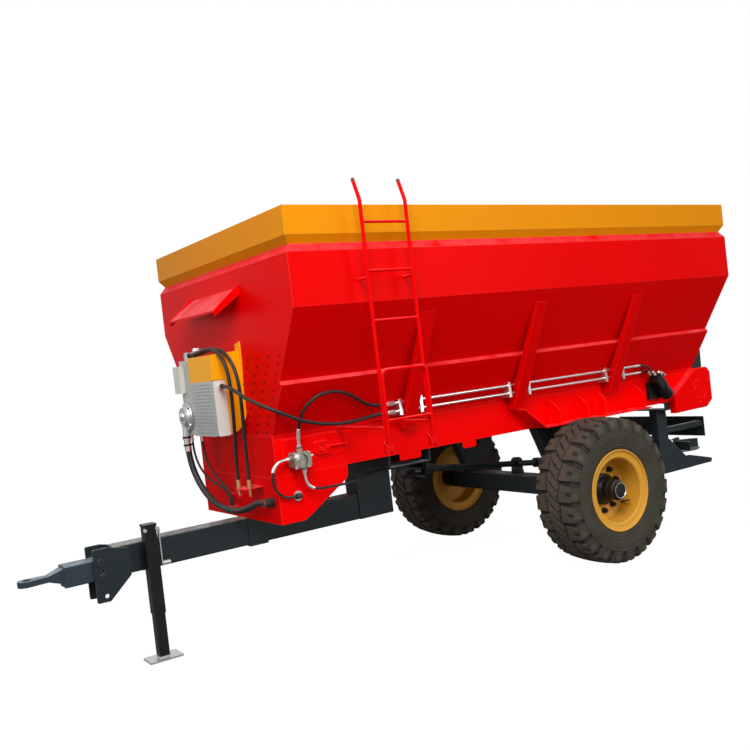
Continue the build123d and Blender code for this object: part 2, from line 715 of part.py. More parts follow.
# ---- Tail frame: posts under the rails, tapered arms for the spinner deck, guard plate ----
post_front = axle_x - 1290
post_rear = axle_x - 1420
post_half = 500
post_width = 80
arm_bottom = 425
arm_top = 540
post_top = rail_bottom - 70
guard_x = axle_x - 1944
guard_bottom = 680
guard_top = 865
with BuildPart() as tail_frame:
    with BuildSketch(Plane.XZ.offset(-post_half)):
        Polygon((post_front, post_top), (post_front, arm_bottom), (axle_x - 1690, arm_bottom),
                (axle_x - tail_reach, arm_bottom + 8), (axle_x - tail_reach, arm_bottom + 40),
                (axle_x - 1690, arm_top), (axle_x - 1640, arm_top), (post_rear, 735),
                (post_rear, post_top), align=None)
    extrude(amount=8)
    with BuildSketch(Plane.XY.offset(arm_bottom)):
        with Locations(((post_front + post_rear) / 2, post_half - 8 - (post_width - 8) / 2)):
            Rectangle(post_front - post_rear, post_width - 8)
            Rectangle(post_front - post_rear - 16, post_width - 24, mode=Mode.SUBTRACT)
    extrude(amount=post_top - arm_bottom)
    with BuildSketch(Plane.XY.offset(arm_bottom)):
        Polygon((post_rear, post_half - 8), (post_rear, post_half - post_width),
                (axle_x - tail_reach, post_half - post_width),
                (axle_x - tail_reach, post_half - 8), align=None)
    extrude(amount=8)
    with BuildSketch(Plane.YZ.offset(guard_x)):
        with Locations((post_half - 36, guard_top - 60)):
            Rectangle(50, 50)
    extrude(amount=post_rear - guard_x)
    mirror(about=Plane.XZ)
    with BuildSketch(Plane.YZ.offset(guard_x)):
        with Locations((0, (guard_bottom + guard_top) / 2)):
            Rectangle(2 * post_half, guard_top - guard_bottom)
    extrude(amount=-6)
    with BuildSketch(Plane.YZ.offset(post_rear)):
        with Locations((0, (post_top + rail_bottom) / 2)):
            Rectangle(2 * rail_half, rail_bottom - post_top)
            Rectangle(2 * rail_half - 16, rail_bottom - post_top - 16, mode=Mode.SUBTRACT)
    extrude(amount=post_front - post_rear)
    with BuildSketch(Plane.XZ.offset(-rail_half)):
        Polygon((hopper_rear - 4, rail_top), (hopper_rear - 4, 1532), (rail_rear - 4, 1528),
                (rail_rear, rail_top),
                align=None)
    extrude(amount=rail_plate)
    with BuildSketch(Plane.XZ.offset(rail_half)):
        Polygon((hopper_rear - 4, rail_top), (hopper_rear - 4, 1532), (rail_rear - 4, 1528),
                (rail_rear, rail_top),
                align=None)
    extrude(amount=-rail_plate)
pieces["tail_frame"] = tail_frame

# ---- Spinner deck: cross member and the gear case that drives the two discs ----
case_top = disc_z - 12
hub_radius = 38
spindle_radius = 18
spindle_depth = 44
with BuildPart() as gear_case:
    with BuildSketch(Plane.YZ.offset(spin_x - 70)):
        with Locations((0, arm_bottom + 28)):
            Rectangle(2 * (post_half - 8), 40)
            Rectangle(2 * (post_half - 16), 24, mode=Mode.SUBTRACT)
    extrude(amount=140)
    for side in (-1, 1):
        with BuildSketch(Plane.XY.offset(arm_bottom + 40)):
            with Locations((spin_x, side * spin_y)):
                RectangleRounded(130, 130, 25)
        extrude(amount=case_top - arm_bottom - 40)
    with BuildSketch(Plane.XZ.offset(-spin_y)):
        with Locations((spin_x, 515)):
            Circle(30)
    extrude(amount=2 * spin_y)
    with BuildSketch(Plane.XY.offset(arm_bottom + 40)):
        with Locations((spin_x + 20, 0)):
            RectangleRounded(170, 150, 25)
    extrude(amount=case_top - arm_bottom - 40)
    with BuildSketch(Plane(origin=on_shaft(input_x - 60), z_dir=along)):
        Circle(stub)
    extrude(amount=60 + stub_grip)
    for side in (-1, 1):
        with BuildSketch(Plane.XY.offset(case_top)):
            with Locations((spin_x, side * spin_y)):
                Circle(spindle_radius + running)
        extrude(amount=-spindle_depth, mode=Mode.SUBTRACT)
pieces["gear_case"] = gear_case

# ---- Spinner discs: each with radial vanes folded from channel ----
disc_plate = 6
vane_count = 6
vane_inner = 60
for side, label in ((1, "left"), (-1, "right")):
    centre_y = side * spin_y
    with BuildPart() as spinner:
        with BuildSketch(Plane.XY.offset(disc_z)):
            with Locations((spin_x, centre_y)):
                Circle(disc_radius)
        extrude(amount=disc_plate)
        with BuildSketch(Plane.XY.offset(case_top - spindle_depth + 2)):
            with Locations((spin_x, centre_y)):
                Circle(spindle_radius)
        extrude(amount=disc_z - case_top + spindle_depth - 2)
        with BuildSketch(Plane.XY.offset(disc_z + disc_plate)):
            with Locations((spin_x, centre_y)):
                Circle(hub_radius)
        extrude(amount=30)
        with BuildSketch(Plane.XY.offset(disc_z + disc_plate)):
            with Locations((spin_x, centre_y)):
                with PolarLocations((disc_radius - 6 + vane_inner) / 2, vane_count, start_angle=20):
                    Rectangle(disc_radius - 6 - vane_inner, 6)
        extrude(amount=vane_height)
        with BuildSketch(Plane.XY.offset(disc_z + disc_plate + vane_height)):
            with Locations((spin_x, centre_y)):
                with PolarLocations((disc_radius - 10 + vane_inner) / 2, vane_count, start_angle=20):
                    with Locations((0, 12 * side)):
                        Rectangle(disc_radius - 10 - vane_inner, 30)
        extrude(amount=-5)
    pieces[f"spinner_{label}"] = spinner

# ---- Propeller shaft from the hydraulic motor, over the axle, to the gear case ----
yoke_length = 100
yoke_radius = 42
with BuildPart() as drive_shaft:
    with BuildSketch(Plane(origin=on_shaft(input_x) + along * 4, z_dir=along)):
        Circle(shaft_radius)
    extrude(amount=(on_shaft(motor_x) - on_shaft(input_x)).length - 8)
    for yoke_start in (on_shaft(input_x) + along * 4, on_shaft(axle_x - 330),
                       on_shaft(motor_x) - along * (4 + yoke_length)):
        with BuildSketch(Plane(origin=yoke_start, z_dir=along)):
            Circle(yoke_radius)
        extrude(amount=yoke_length)
    for stub_start in (on_shaft(input_x), on_shaft(motor_x) - along * (stub_grip + 4)):
        with BuildSketch(Plane(origin=stub_start, z_dir=along)):
            Circle(stub + running)
        extrude(amount=stub_grip + 4, mode=Mode.SUBTRACT)
pieces["drive_shaft"] = drive_shaft

motor_radius = 48
with BuildPart() as spinner_motor:
    with BuildSketch(Plane(origin=on_shaft(motor_x), z_dir=along, x_dir=(0, 1, 0))):
        Circle(motor_radius)
    extrude(amount=190)
    with BuildSketch(Plane(origin=on_shaft(motor_x), z_dir=along, x_dir=(0, 1, 0))):
        RectangleRounded(130, 130, 20)
    extrude(amount=16)
    with BuildSketch(Plane(origin=on_shaft(motor_x), z_dir=along, x_dir=(0, 1, 0))):
        Circle(stub)
    extrude(amount=-stub_grip)
    with BuildSketch(Plane.XZ):
        with Locations((motor_x + 110, shaft_z + shaft_slope * (motor_x + 110 - axle_x))):
            Circle(17)
    extrude(amount=-motor_radius - 24)
    with BuildSketch(Plane.YZ.offset(motor_x + 20)):
        Polygon((-70, rail_bottom), (70, rail_bottom), (60, 840), (-60, 840), align=None)
    extrude(amount=10)
    with BuildSketch(Plane.XY.offset(rail_bottom)):
        with Locations((motor_x + 30, 0)):
            Rectangle(90, 2 * (rail_half - rail_flange))
    extrude(amount=-8)
    with BuildSketch(Plane.XY.offset(rail_bottom - 8)):
        for side in (-1, 1):
            with Locations((motor_x + 30, side * (rail_half - rail_flange))):
                Rectangle(90, 2 * rail_flange - 20)
    extrude(amount=8)
pieces["spinner_motor"] = spinner_motor

# ---- Conveyor motor, inclined on the left rail, and its mounting plate ----
drive_x = axle_x - 1170
drive_z = 1235
drive_tilt = 48
drive_out = rail_half + 78
motor_line = Vector(-cos(radians(drive_tilt)), 0, -sin(radians(drive_tilt)))
with BuildPart() as conveyor_motor:
    with BuildSketch(Plane(origin=Vector(drive_x, drive_out, drive_z) - motor_line * 110, z_dir=motor_line,
                           x_dir=(0, 1, 0))):
        RectangleRounded(96, 96, 18)
    extrude(amount=120)
    with BuildSketch(Plane(origin=Vector(drive_x, drive_out, drive_z) + motor_line * 10, z_dir=motor_line,
                           x_dir=(0, 1, 0))):
        Circle(56)
    extrude(amount=110)
    with BuildSketch(Plane.XZ.offset(-rail_half)):
        with Locations((drive_x + 10, 1200)):
            Rectangle(190, 150)
    extrude(amount=-34)
    for port_side in (-24, 24):
        with BuildSketch(Plane(origin=Vector(drive_x, drive_out + port_side, drive_z) - motor_line * 136,
                               z_dir=motor_line)):
            Circle(14)
        extrude(amount=40)
pieces["conveyor_motor"] = conveyor_motor

# ---- Hydraulic pipes along the left side, and the clamps that hold them ----
pipe_front = axle_x + 1725
pipe_rear = axle_x - 860
clamp_places = (axle_x + 1620, axle_x + 1440, axle_x + 600, axle_x + 400, axle_x - 470, axle_x - 680)
with BuildPart() as pipes:
    for clamp_x in clamp_places:
        with BuildSketch(Plane.YZ.offset(clamp_x - 12)):
            Polygon((rail_half, foot_z + 8), (rail_half, foot_z), (pipe_y + 20, foot_z + 8),
                    (pipe_y + 20, 1462),
                    (rail_half + slope * (1462 - foot_z), 1462), align=None)
        extrude(amount=24)
    with BuildSketch(Plane.YZ.offset(hopper_rear)):
        Polygon((rail_half, 1300), (rail_half, foot_z), (rail_half + slope * (1500 - foot_z), 1500),
                (rail_half - 200, 1500), (rail_half - 200, 1300), align=None)
    extrude(amount=hopper_front - hopper_rear, mode=Mode.SUBTRACT)
    for pipe_z in pipe_heights:
        with BuildSketch(Plane.YZ.offset(pipe_rear)):
            with Locations((pipe_y, pipe_z)):
                Circle(pipe_radius)
        extrude(amount=pipe_front - pipe_rear)
        with BuildSketch(Plane.YZ.offset(pipe_front - 60)):
            with Locations((pipe_y, pipe_z)):
                RegularPolygon(17, 6)
        extrude(amount=60)
pieces["pipes"] = pipes

# ---- Control valve on the front of the left rail ----
valve_x = axle_x + 2425
valve_z = 1165
with BuildPart() as valve:
    with BuildSketch(Plane.XZ.offset(-rail_half - 8)):
        with Locations((valve_x, valve_z)):
            RectangleRounded(120, 100, 14)
    extrude(amount=-90)
    with BuildSketch(Plane.XY.offset(valve_z + 50)):
        with Locations((valve_x, rail_half + 58)):
            Circle(20)
    extrude(amount=24)
    with BuildSketch(Plane.XY.offset(valve_z - 50)):
        with Locations((valve_x - 20, rail_half + 58)):
            Circle(20)
    extrude(amount=-24)
    with BuildSketch(Plane.YZ.offset(valve_x + 60)):
        with Locations((rail_half + 58, valve_z + 15)):
            Circle(20)
    extrude(amount=24)
pieces["valve"] = valve

# ---- Power pack on the front plate: oil tank, cooler, pump panel and pump ----
tank_left = 265
tank_right = -130
tank_top = 1905
tank_bottom = 1362
cooler_top = 1732
cooler_depth = 86
pack_front = hopper_front + 216
step_x = pack_front - cooler_depth
with BuildPart() as tank:
    with BuildSketch(Plane.XZ.offset(-tank_left)):
        with BuildLine():
            Polyline((hopper_front, 1500), (hopper_front, tank_top + 12), (pack_front, tank_top),
                     (pack_front, cooler_top), (step_x, cooler_top), (step_x, tank_bottom))
            ThreePointArc((step_x, tank_bottom), (hopper_front + 48, tank_bottom + 42),
                          (hopper_front, 1500))
        make_face()
    extrude(amount=tank_left - tank_right)
    fillet(tank.edges().filter_by(Axis.X).group_by(Axis.Z)[-1], 10)
    with BuildSketch(Plane.YZ.offset(hopper_front)):
        Polygon((215, 1880), (215, 1958), (290, 1975), (290, 1880), (270, 1690), (240, 1690), align=None)
        with Locations((262, 1940)):
            Circle(9, mode=Mode.SUBTRACT)
    extrude(amount=8)
pieces["tank"] = tank

cooler_left = 272
with BuildPart() as cooler:
    with BuildSketch(Plane.XZ.offset(-cooler_left + 46)):
        with Locations(((step_x + pack_front) / 2, (cooler_top + tank_bottom) / 2)):
            Rectangle(cooler_depth, cooler_top - tank_bottom)
    extrude(amount=cooler_left - 46 - tank_right)
    fin_pitch = 23
    with BuildSketch(Plane.XZ.offset(-cooler_left + 46 + 1)):
        for fin in range(1, 16):
            with Locations((pack_front - 6, tank_bottom + fin * fin_pitch)):
                Rectangle(16, 11)
    extrude(amount=cooler_left - 46 + 2 - tank_right, mode=Mode.SUBTRACT)
    with BuildSketch(Plane.XZ.offset(-cooler_left + 46)):
        with Locations(((step_x + pack_front) / 2, (cooler_top + tank_bottom) / 2)):
            RectangleRounded(cooler_depth, cooler_top - tank_bottom, 12)
    extrude(amount=-46)
    with BuildSketch(Plane.XZ.offset(-cooler_left)):
        with Locations((step_x + 44, cooler_top - 40)):
            Circle(18)
    extrude(amount=-30)
pieces["cooler"] = cooler

panel_right = -372
pump_y = -285
pump_z = 1500
with BuildPart() as pump_panel:
    with BuildSketch(Plane.XZ.offset(-tank_right)):
        Polygon((hopper_front, tank_top - 8), (pack_front - 30, tank_top - 12),
                (pack_front - 30, tank_bottom),
                (hopper_front + 60, tank_bottom), (hopper_front, 1460), align=None)
    extrude(amount=tank_right - panel_right)
    with BuildSketch(Plane.YZ.offset(pack_front - 30)):
        with Locations((pump_y - 60, 1760)):
            RectangleRounded(110, 190, 10)
    extrude(amount=34)
    with BuildSketch(Plane.XY.offset(tank_top - 30)):
        with Locations((pack_front - 54, tank_right - 68)):
            RectangleRounded(84, 46, 6)
    extrude(amount=72)
pieces["pump_panel"] = pump_panel

with BuildPart() as pump:
    with BuildSketch(Plane.YZ.offset(pack_front - 30)):
        with Locations((pump_y, pump_z)):
            Circle(98)
    extrude(amount=22)
    with BuildSketch(Plane.YZ.offset(pack_front - 8)):
        with Locations((pump_y, pump_z)):
            Circle(62)
    extrude(amount=34)
    with BuildSketch(Plane.XY.offset(pump_z - 120)):
        with Locations((pack_front + 2, pump_y - 20)):
            Circle(24)
    extrude(amount=100)
pieces["pump"] = pump

# ---- Ladder: fixed upper frame, and a lower frame that folds down on clevises at the foot ----
fold_gap = 5
lower_y = ladder_y + 2 * tube_radius + fold_gap
hinge_y = (ladder_y + lower_y) / 2
hinge_z = 1190
ladder_top = 2742
top_inset = 52
rung_heights = (2605, 2302, 1992)
standoff_z = 2262
foot_arm_z = 1323
with BuildPart() as ladder_upper:
    for rail_x in (ladder_front, ladder_rear):
        with BuildLine(Plane.YZ.offset(rail_x)) as rail_path:
            FilletPolyline((ladder_y, hinge_z + 45), (ladder_y, ladder_top),
                           (ladder_y - top_inset, ladder_top + 140),
                           radius=60)
        with BuildSketch(Plane.XY.offset(hinge_z + 45)):
            with Locations((rail_x, ladder_y)):
                Circle(tube_radius)
        sweep(path=rail_path.line)
        with BuildSketch(Plane.XZ.offset(-hopper_half)):
            with Locations((rail_x, standoff_z)):
                Circle(rung_radius)
        extrude(amount=-(ladder_y - hopper_half))
        with BuildSketch(Plane.XZ.offset(-rail_half)):
            with Locations((rail_x, foot_arm_z)):
                Rectangle(30, 20)
        extrude(amount=-(ladder_y - rail_half))
        with BuildSketch(Plane.XZ.offset(-ladder_y + tube_radius)):
            with Locations((rail_x, hinge_z + 45)):
                Rectangle(44, 60)
        extrude(amount=-8)
        with BuildSketch(Plane.YZ.offset(rail_x - 22)):
            Polygon((ladder_y - tube_radius, hinge_z - 25), (ladder_y - tube_radius, hinge_z + 65),
                    (hinge_y + 18, hinge_z + 20), (hinge_y + 18, hinge_z - 25), align=None)
            with Locations((hinge_y, hinge_z)):
                Circle(7, mode=Mode.SUBTRACT)
        extrude(amount=5)
        extruded_gap = 39
        with BuildSketch(Plane.YZ.offset(rail_x - 22 + extruded_gap)):
            Polygon((ladder_y - tube_radius, hinge_z - 25), (ladder_y - tube_radius, hinge_z + 65),
                    (hinge_y + 18, hinge_z + 20), (hinge_y + 18, hinge_z - 25), align=None)
            with Locations((hinge_y, hinge_z)):
                Circle(7, mode=Mode.SUBTRACT)
        extrude(amount=5)
    for rung_z in rung_heights:
        with BuildSketch(Plane.YZ.offset(ladder_rear)):
            with Locations((ladder_y, rung_z)):
                Circle(rung_radius)
        extrude(amount=ladder_front - ladder_rear)
pieces["ladder_upper"] = ladder_upper

lower_top = 1682
with BuildPart() as ladder_lower:
    with BuildLine(Plane.XZ.offset(-lower_y)) as hoop:
        FilletPolyline((ladder_rear, hinge_z), (ladder_rear, lower_top), (ladder_front, lower_top),
                       (ladder_front, hinge_z), radius=45)
    with BuildSketch(Plane.XY.offset(hinge_z)):
        with Locations((ladder_rear, lower_y)):
            Circle(tube_radius)
    sweep(path=hoop.line)
    with BuildSketch(Plane.YZ.offset(ladder_rear)):
        with Locations((lower_y, 1370)):
            Circle(rung_radius)
    extrude(amount=ladder_front - ladder_rear)
    for rail_x in (ladder_front, ladder_rear):
        with BuildSketch(Plane.YZ.offset(rail_x - 13)):
            with BuildLine():
                Polyline((hinge_y - 12, hinge_z - 12), (hinge_y - 12, hinge_z + 12), (lower_y, hinge_z + 40),
                         (lower_y + 8, hinge_z + 40), (lower_y + 8, hinge_z - 12), close=True)
            make_face()
        extrude(amount=26)
        with BuildSketch(Plane.YZ.offset(rail_x - 24)):
            with Locations((hinge_y, hinge_z)):
                Circle(7 - running)
        extrude(amount=48)
pieces["ladder_lower"] = ladder_lower

# ---- Wheels: hollow tyre on a deep one-piece rim, disc and hub ----
bead_radius = 288
bead_play = 0.4
rim_half = 178
disc_offset = -30
disc_thick = 14
barrel_radius = 240
hub_barrel = 78
hub_flange = 120
cap_radius = 60
half = tyre_width / 2


def wheel_profile(*points):
    """Points given as distance outboard of the wheel's centre plane and radius."""
    return [(wheel_y + out, tyre_radius + radius) for out, radius in points]


wheel_axis = Axis((axle_x, 0, tyre_radius), (0, 1, 0))
with BuildPart() as tyre:
    with BuildSketch(Plane.YZ.offset(axle_x)):
        with BuildLine():
            Polyline(*wheel_profile((-155, bead_radius + bead_play), (-166, 299), (-170, 318)))
            ThreePointArc(*wheel_profile((-170, 318), (-half, 425), (-half + 16, 510)))
            Polyline(*wheel_profile((-half + 16, 510), (-half + 38, 546)))
            ThreePointArc(*wheel_profile((-half + 38, 546), (0, 556), (half - 38, 546)))
            Polyline(*wheel_profile((half - 38, 546), (half - 16, 510)))
            ThreePointArc(*wheel_profile((half - 16, 510), (half, 425), (170, 318)))
            Polyline(*wheel_profile((170, 318), (166, 299), (155, bead_radius + bead_play),
                                    (134, bead_radius - 3.2 + bead_play)))
            ThreePointArc(*wheel_profile((134, bead_radius - 3.2 + bead_play), (half - 22, 420),
                                         (half - 50, 505)))
            Polyline(*wheel_profile((half - 50, 505), (-half + 50, 505)))
            ThreePointArc(*wheel_profile((-half + 50, 505), (-half + 22, 420),
                                         (-134, bead_radius - 3.2 + bead_play)))
            Polyline(*wheel_profile((-134, bead_radius - 3.2 + bead_play),
                                    (-155, bead_radius + bead_play)))
        make_face()
    revolve(axis=wheel_axis)

rim_skin = 9
rim_line = wheel_profile((rim_half, rim_radius), (rim_half - 6, 298), (rim_half - 22, bead_radius),
                         (130, bead_radius - 4), (96, barrel_radius + rim_skin),
                         (-100, barrel_radius + rim_skin),
                         (-130, bead_radius - 4), (-rim_half + 22, bead_radius), (-rim_half + 6, 298),
                         (-rim_half, rim_radius))
with BuildPart() as rim:
    with BuildSketch(Plane.YZ.offset(axle_x)):
        with BuildLine():
            Polyline(*rim_line)
            offset(amount=rim_skin, side=Side.LEFT, closed=True)
        make_face()
    revolve(axis=wheel_axis)
    with BuildSketch(Plane.YZ.offset(axle_x)):
        Polygon(*wheel_profile((disc_offset, stub_radius + 30), (disc_offset, barrel_radius + 2),
                               (disc_offset + disc_thick, barrel_radius + 2),
                               (disc_offset + disc_thick, stub_radius + 30)), align=None)
    revolve(axis=wheel_axis)
    with BuildSketch(Plane.XZ.offset(-wheel_y - disc_offset - disc_thick)):
        with Locations((axle_x, tyre_radius)):
            with PolarLocations(168, 10):
                RegularPolygon(18, 6)
    extrude(amount=-26)

with BuildPart() as hub:
    with BuildSketch(Plane.YZ.offset(axle_x)):
        Polygon(*wheel_profile(
            (-150, stub_radius + running), (-150, 92), (disc_offset, 92), (disc_offset, stub_radius + 30),
            (disc_offset + disc_thick, stub_radius + 30), (disc_offset + disc_thick, hub_flange),
            (disc_offset + 50, hub_flange), (disc_offset + 84, hub_barrel), (150, hub_barrel),
            (158, cap_radius + 4), (176, cap_radius), (176, 0), (102, 0), (102, stub_radius + running)),
            align=None)
    revolve(axis=wheel_axis)
for label, flip in (("left", False), ("right", True)):
    for name, piece in (("tyre", tyre), ("rim", rim), ("hub", hub)):
        pieces[f"{name}_{label}"] = mirrored(piece) if flip else piece

# ---- Hose couplers: a bracket on the front plate with two quick couplers hanging in it ----
coupler_places = ((2672, 378), (2700, 272))  # forward of the axle, left of the centre plane
coupler_top = 1060
with BuildPart() as couplers:
    with BuildSketch(Plane.XY.offset(coupler_top - 46)):
        with Locations((hopper_front + 80, 325)):
            Rectangle(160, 176)
    extrude(amount=6)
    with BuildSketch(Plane.YZ.offset(hopper_front)):
        with Locations((325, coupler_top - 33)):
            Rectangle(176, 44)
    extrude(amount=6)
    for x, y in coupler_places:
        for foot, radius, length in ((coupler_top - 132, 15, 132), (coupler_top - 112, 20, 52)):
            with BuildSketch(Plane.XY.offset(foot)):
                with Locations((axle_x + x, y)):
                    Circle(radius)
            extrude(amount=length)
pieces["couplers"] = couplers

# ---- Hoses: rubber tubes with tangent bends, each listed with its route ----


def bend_radii(points):
    """Each corner gets 0.45 of its shorter run over the tangent of half its turn."""
    radii = []
    for before, corner, after in zip(points, points[1:], points[2:]):
        run_in = Vector(*corner) - Vector(*before)
        run_out = Vector(*after) - Vector(*corner)
        turn = radians(run_in.get_angle(run_out))
        radii.append(0.45 * min(run_in.length, run_out.length) / tan(turn / 2))
    return radii


hose_routes = {
    # name: (radius, ((forward of the axle, left of the centre plane, height), ...))
    "hose_lift": (11, ((2425, 658, 1239), (2425, 658, 1330), (2420, 700, 1420), (2400, 745, 1500),
                       (2330, 780, 1560), (2240, 792, 1582), (2130, 786, 1570), (2020, 756, 1520),
                       (1920, 716, 1466), (1815, 684, 1437), (1725, 684, 1437))),
    "hose_cooler": (12, ((2754, 302, 1692), (2754, 352, 1692), (2750, 430, 1676), (2736, 510, 1636),
                         (2704, 600, 1584), (2640, 690, 1530), (2540, 740, 1472), (2430, 742, 1418),
                         (2310, 736, 1384), (2190, 728, 1364), (2080, 718, 1356), (1960, 700, 1362),
                         (1835, 684, 1377), (1725, 684, 1377))),
    "hose_drive_top": (9, ((-860, 684, 1437), (-925, 684, 1437), (-990, 694, 1423), (-1045.4, 702, 1373.4),
                           (-1078.9, 702, 1336.2))),
    "hose_drive_foot": (9, ((-860, 684, 1377), (-908, 684, 1377), (-957, 676, 1384), (-1004, 664, 1391),
                            (-1045.4, 654, 1373.4), (-1078.9, 654, 1336.2))),
    "hose_cheek": (9, ((2509, 658, 1180), (2562, 658, 1180), (2606, 657, 1157), (2630, 653, 1113),
                       (2634, 648, 1060), (2620, 641, 1008), (2586, 633, 962), (2534, 624, 928),
                       (2467, 624, 928))),
    "hose_motor": (9, ((2405, 658, 1091), (2405, 658, 1036), (2386, 657, 989), (2343, 655, 962),
                       (2285, 653, 953), (2205, 650, 951), (2120, 640, 949), (2040, 612, 944),
                       (1975, 562, 938), (1915, 505, 935), (1850, 450, 936), (1775, 400, 939),
                       (1690, 356, 942), (1600, 322, 941), (1505, 292, 935), (1415, 266, 925),
                       (1330, 246, 911), (1255, 228, 895), (1188, 204, 877), (1128, 170, 858),
                       (1100, 122, 847), (1100, 72, 847))),
    "hose_return_a": (12, ((2720, -175, 1926), (2720, -70, 1926), (2719, 40, 1938), (2716, 150, 1946),
                           (2710, 255, 1932), (2703, 345, 1880), (2696, 406, 1800), (2690, 430, 1705),
                           (2686, 430, 1600), (2682, 418, 1500), (2678, 402, 1400), (2675, 390, 1300),
                           (2673, 382, 1205), (2672, 378, 1130), (2672, 378, 1060))),
    "hose_return_b": (12, ((2762, -175, 1926), (2762, -80, 1926), (2760, 20, 1940), (2757, 120, 1950),
                           (2751, 215, 1945), (2742, 300, 1908), (2733, 352, 1832), (2726, 372, 1735),
                           (2722, 370, 1630), (2718, 356, 1525), (2713, 336, 1420), (2708, 312, 1315),
                           (2703, 288, 1215), (2700, 272, 1130), (2700, 272, 1060))),
    "hose_suction": (22, ((2798, -305, 1380), (2798, -305, 1275), (2793, -292, 1165), (2780, -254, 1060),
                          (2760, -192, 965), (2738, -108, 895), (2716, -2, 852), (2696, 108, 836),
                          (2676, 220, 842), (2652, 322, 870), (2626, 400, 905), (2626, 475, 905))),
    "hose_pump_a": (8, ((2740, -350, 1362), (2740, -350, 1290), (2737, -343, 1218), (2728, -322, 1148),
                        (2713, -284, 1085), (2692, -234, 1034), (2666, -178, 998), (2640, -128, 968),
                        (2619, -102, 930), (2612, -93, 893), (2612, -93, 840))),
    "hose_pump_b": (8, ((2700, -262, 1362), (2700, -262, 1290), (2698, -254, 1218), (2691, -232, 1150),
                        (2678, -196, 1088), (2661, -152, 1034), (2641, -110, 986), (2623, -78, 938),
                        (2611, -60, 893), (2611, -60, 840))),
}
for name, (hose_radius, route) in hose_routes.items():
    points = [(axle_x + x, y, z) for x, y, z in route]
    radii = bend_radii(points)
    with BuildPart() as hose:
        with BuildLine() as path:
            FilletPolyline(*points, radius=radii)
        with BuildSketch(Plane(origin=points[0], z_dir=Vector(*points[1]) - Vector(*points[0]))):
            Circle(hose_radius)
        sweep(path=path.line)
    pieces[name] = hose
    print(name, "length", round(path.wire().length), "smallest bend", round(min(radii)))

os.makedirs("parts", exist_ok=True)
for name, piece in pieces.items():
    piece.part.label = name
    export_step(piece.part, f"parts/{name}.step")
print(len(pieces), "pieces")
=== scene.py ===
import math
import bmesh
import bpy
from mathutils import Matrix, Vector


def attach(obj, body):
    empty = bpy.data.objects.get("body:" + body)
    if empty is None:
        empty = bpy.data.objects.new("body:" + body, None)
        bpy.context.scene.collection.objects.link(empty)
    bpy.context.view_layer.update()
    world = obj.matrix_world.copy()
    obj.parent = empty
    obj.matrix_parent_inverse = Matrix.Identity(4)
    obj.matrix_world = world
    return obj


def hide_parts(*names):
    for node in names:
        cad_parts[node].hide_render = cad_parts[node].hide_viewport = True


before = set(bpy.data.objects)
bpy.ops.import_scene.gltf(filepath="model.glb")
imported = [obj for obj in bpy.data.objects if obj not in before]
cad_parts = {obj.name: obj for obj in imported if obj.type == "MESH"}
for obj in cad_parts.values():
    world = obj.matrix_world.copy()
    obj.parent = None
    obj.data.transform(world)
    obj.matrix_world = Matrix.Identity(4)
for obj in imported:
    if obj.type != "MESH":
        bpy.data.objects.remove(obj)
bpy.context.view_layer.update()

scene = bpy.context.scene

# Camera: stands off the left front corner at a tall person's eye height and looks down the left
# side of the machine. The columns of its matrix are its right, its up and its back.
camera = bpy.data.objects.new("camera", bpy.data.cameras.new("camera"))
camera.data.lens = 42.31
camera.data.sensor_width = 36
camera.data.clip_end = 200
right, up, back = (-0.8260, 0.5524, -0.11337), (-0.1068, 0.0441, 0.9934), (0.5536, 0.8325, 0.02256)
facing_the_side = Matrix((right, up, back)).transposed().to_4x4()
eye = Vector((4.0820, 5.6956, 1.7820))
camera.matrix_world = Matrix.Translation(eye) @ facing_the_side
scene.collection.objects.link(camera)
scene.camera = camera

# Light: an overcast sky over a pale yard, so the sheet metal is lit softly from all round, with a
# broad lamp high over the front left corner. The camera, mirrors and glass see white.
world = bpy.data.worlds.new("sky")
scene.world = world
world.use_nodes = True
sky = world.node_tree
sky.nodes.clear()


def sum_node(tree, operation, *values):
    """The result of a math node; numbers are set on its inputs and sockets are linked to them."""
    node = tree.nodes.new("ShaderNodeMath")
    node.operation = operation
    for socket, value in zip(node.inputs, values):
        if isinstance(value, bpy.types.NodeSocket):
            tree.links.new(value, socket)
        else:
            socket.default_value = value
    return node.outputs[0]


seen = sky.nodes.new("ShaderNodeBackground")
seen.inputs["Color"].default_value = (1, 1, 1, 1)
lit = sky.nodes.new("ShaderNodeBackground")
lit.inputs["Color"].default_value = (0.93, 0.96, 1.0, 1)
lit.inputs["Strength"].default_value = 0.46
path = sky.nodes.new("ShaderNodeLightPath")
straight = sum_node(sky, "MAXIMUM", path.outputs["Is Camera Ray"], path.outputs["Is Transmission Ray"])
choose = sky.nodes.new("ShaderNodeMixShader")
sky.links.new(sum_node(sky, "MAXIMUM", straight, path.outputs["Is Glossy Ray"]), choose.inputs["Fac"])
sky.links.new(lit.outputs[0], choose.inputs[1])
sky.links.new(seen.outputs[0], choose.inputs[2])
result = sky.nodes.new("ShaderNodeOutputWorld")
sky.links.new(choose.outputs[0], result.inputs["Surface"])
lamps = (
    # name, place, aim, side, power
    ("key", (3.5, 5.0, 6.0), (-0.5, 0.5, 1.5), 4.0, 430),
    ("front_fill", (8.0, 0.5, 3.0), (1.2, 0.0, 1.3), 3.0, 70),
    ("side_fill", (-3.5, 7.0, 2.5), (-1.2, 1.0, 1.3), 3.5, 120),
)
for name, place, aim, side, power in lamps:
    lamp = bpy.data.objects.new(name, bpy.data.lights.new(name, "AREA"))
    lamp.data.size = side
    lamp.data.energy = power
    lamp.location = place
    lamp.rotation_euler = (Vector(aim) - Vector(place)).to_track_quat("-Z", "Y").to_euler()
    scene.collection.objects.link(lamp)
scene.view_settings.view_transform = "Standard"

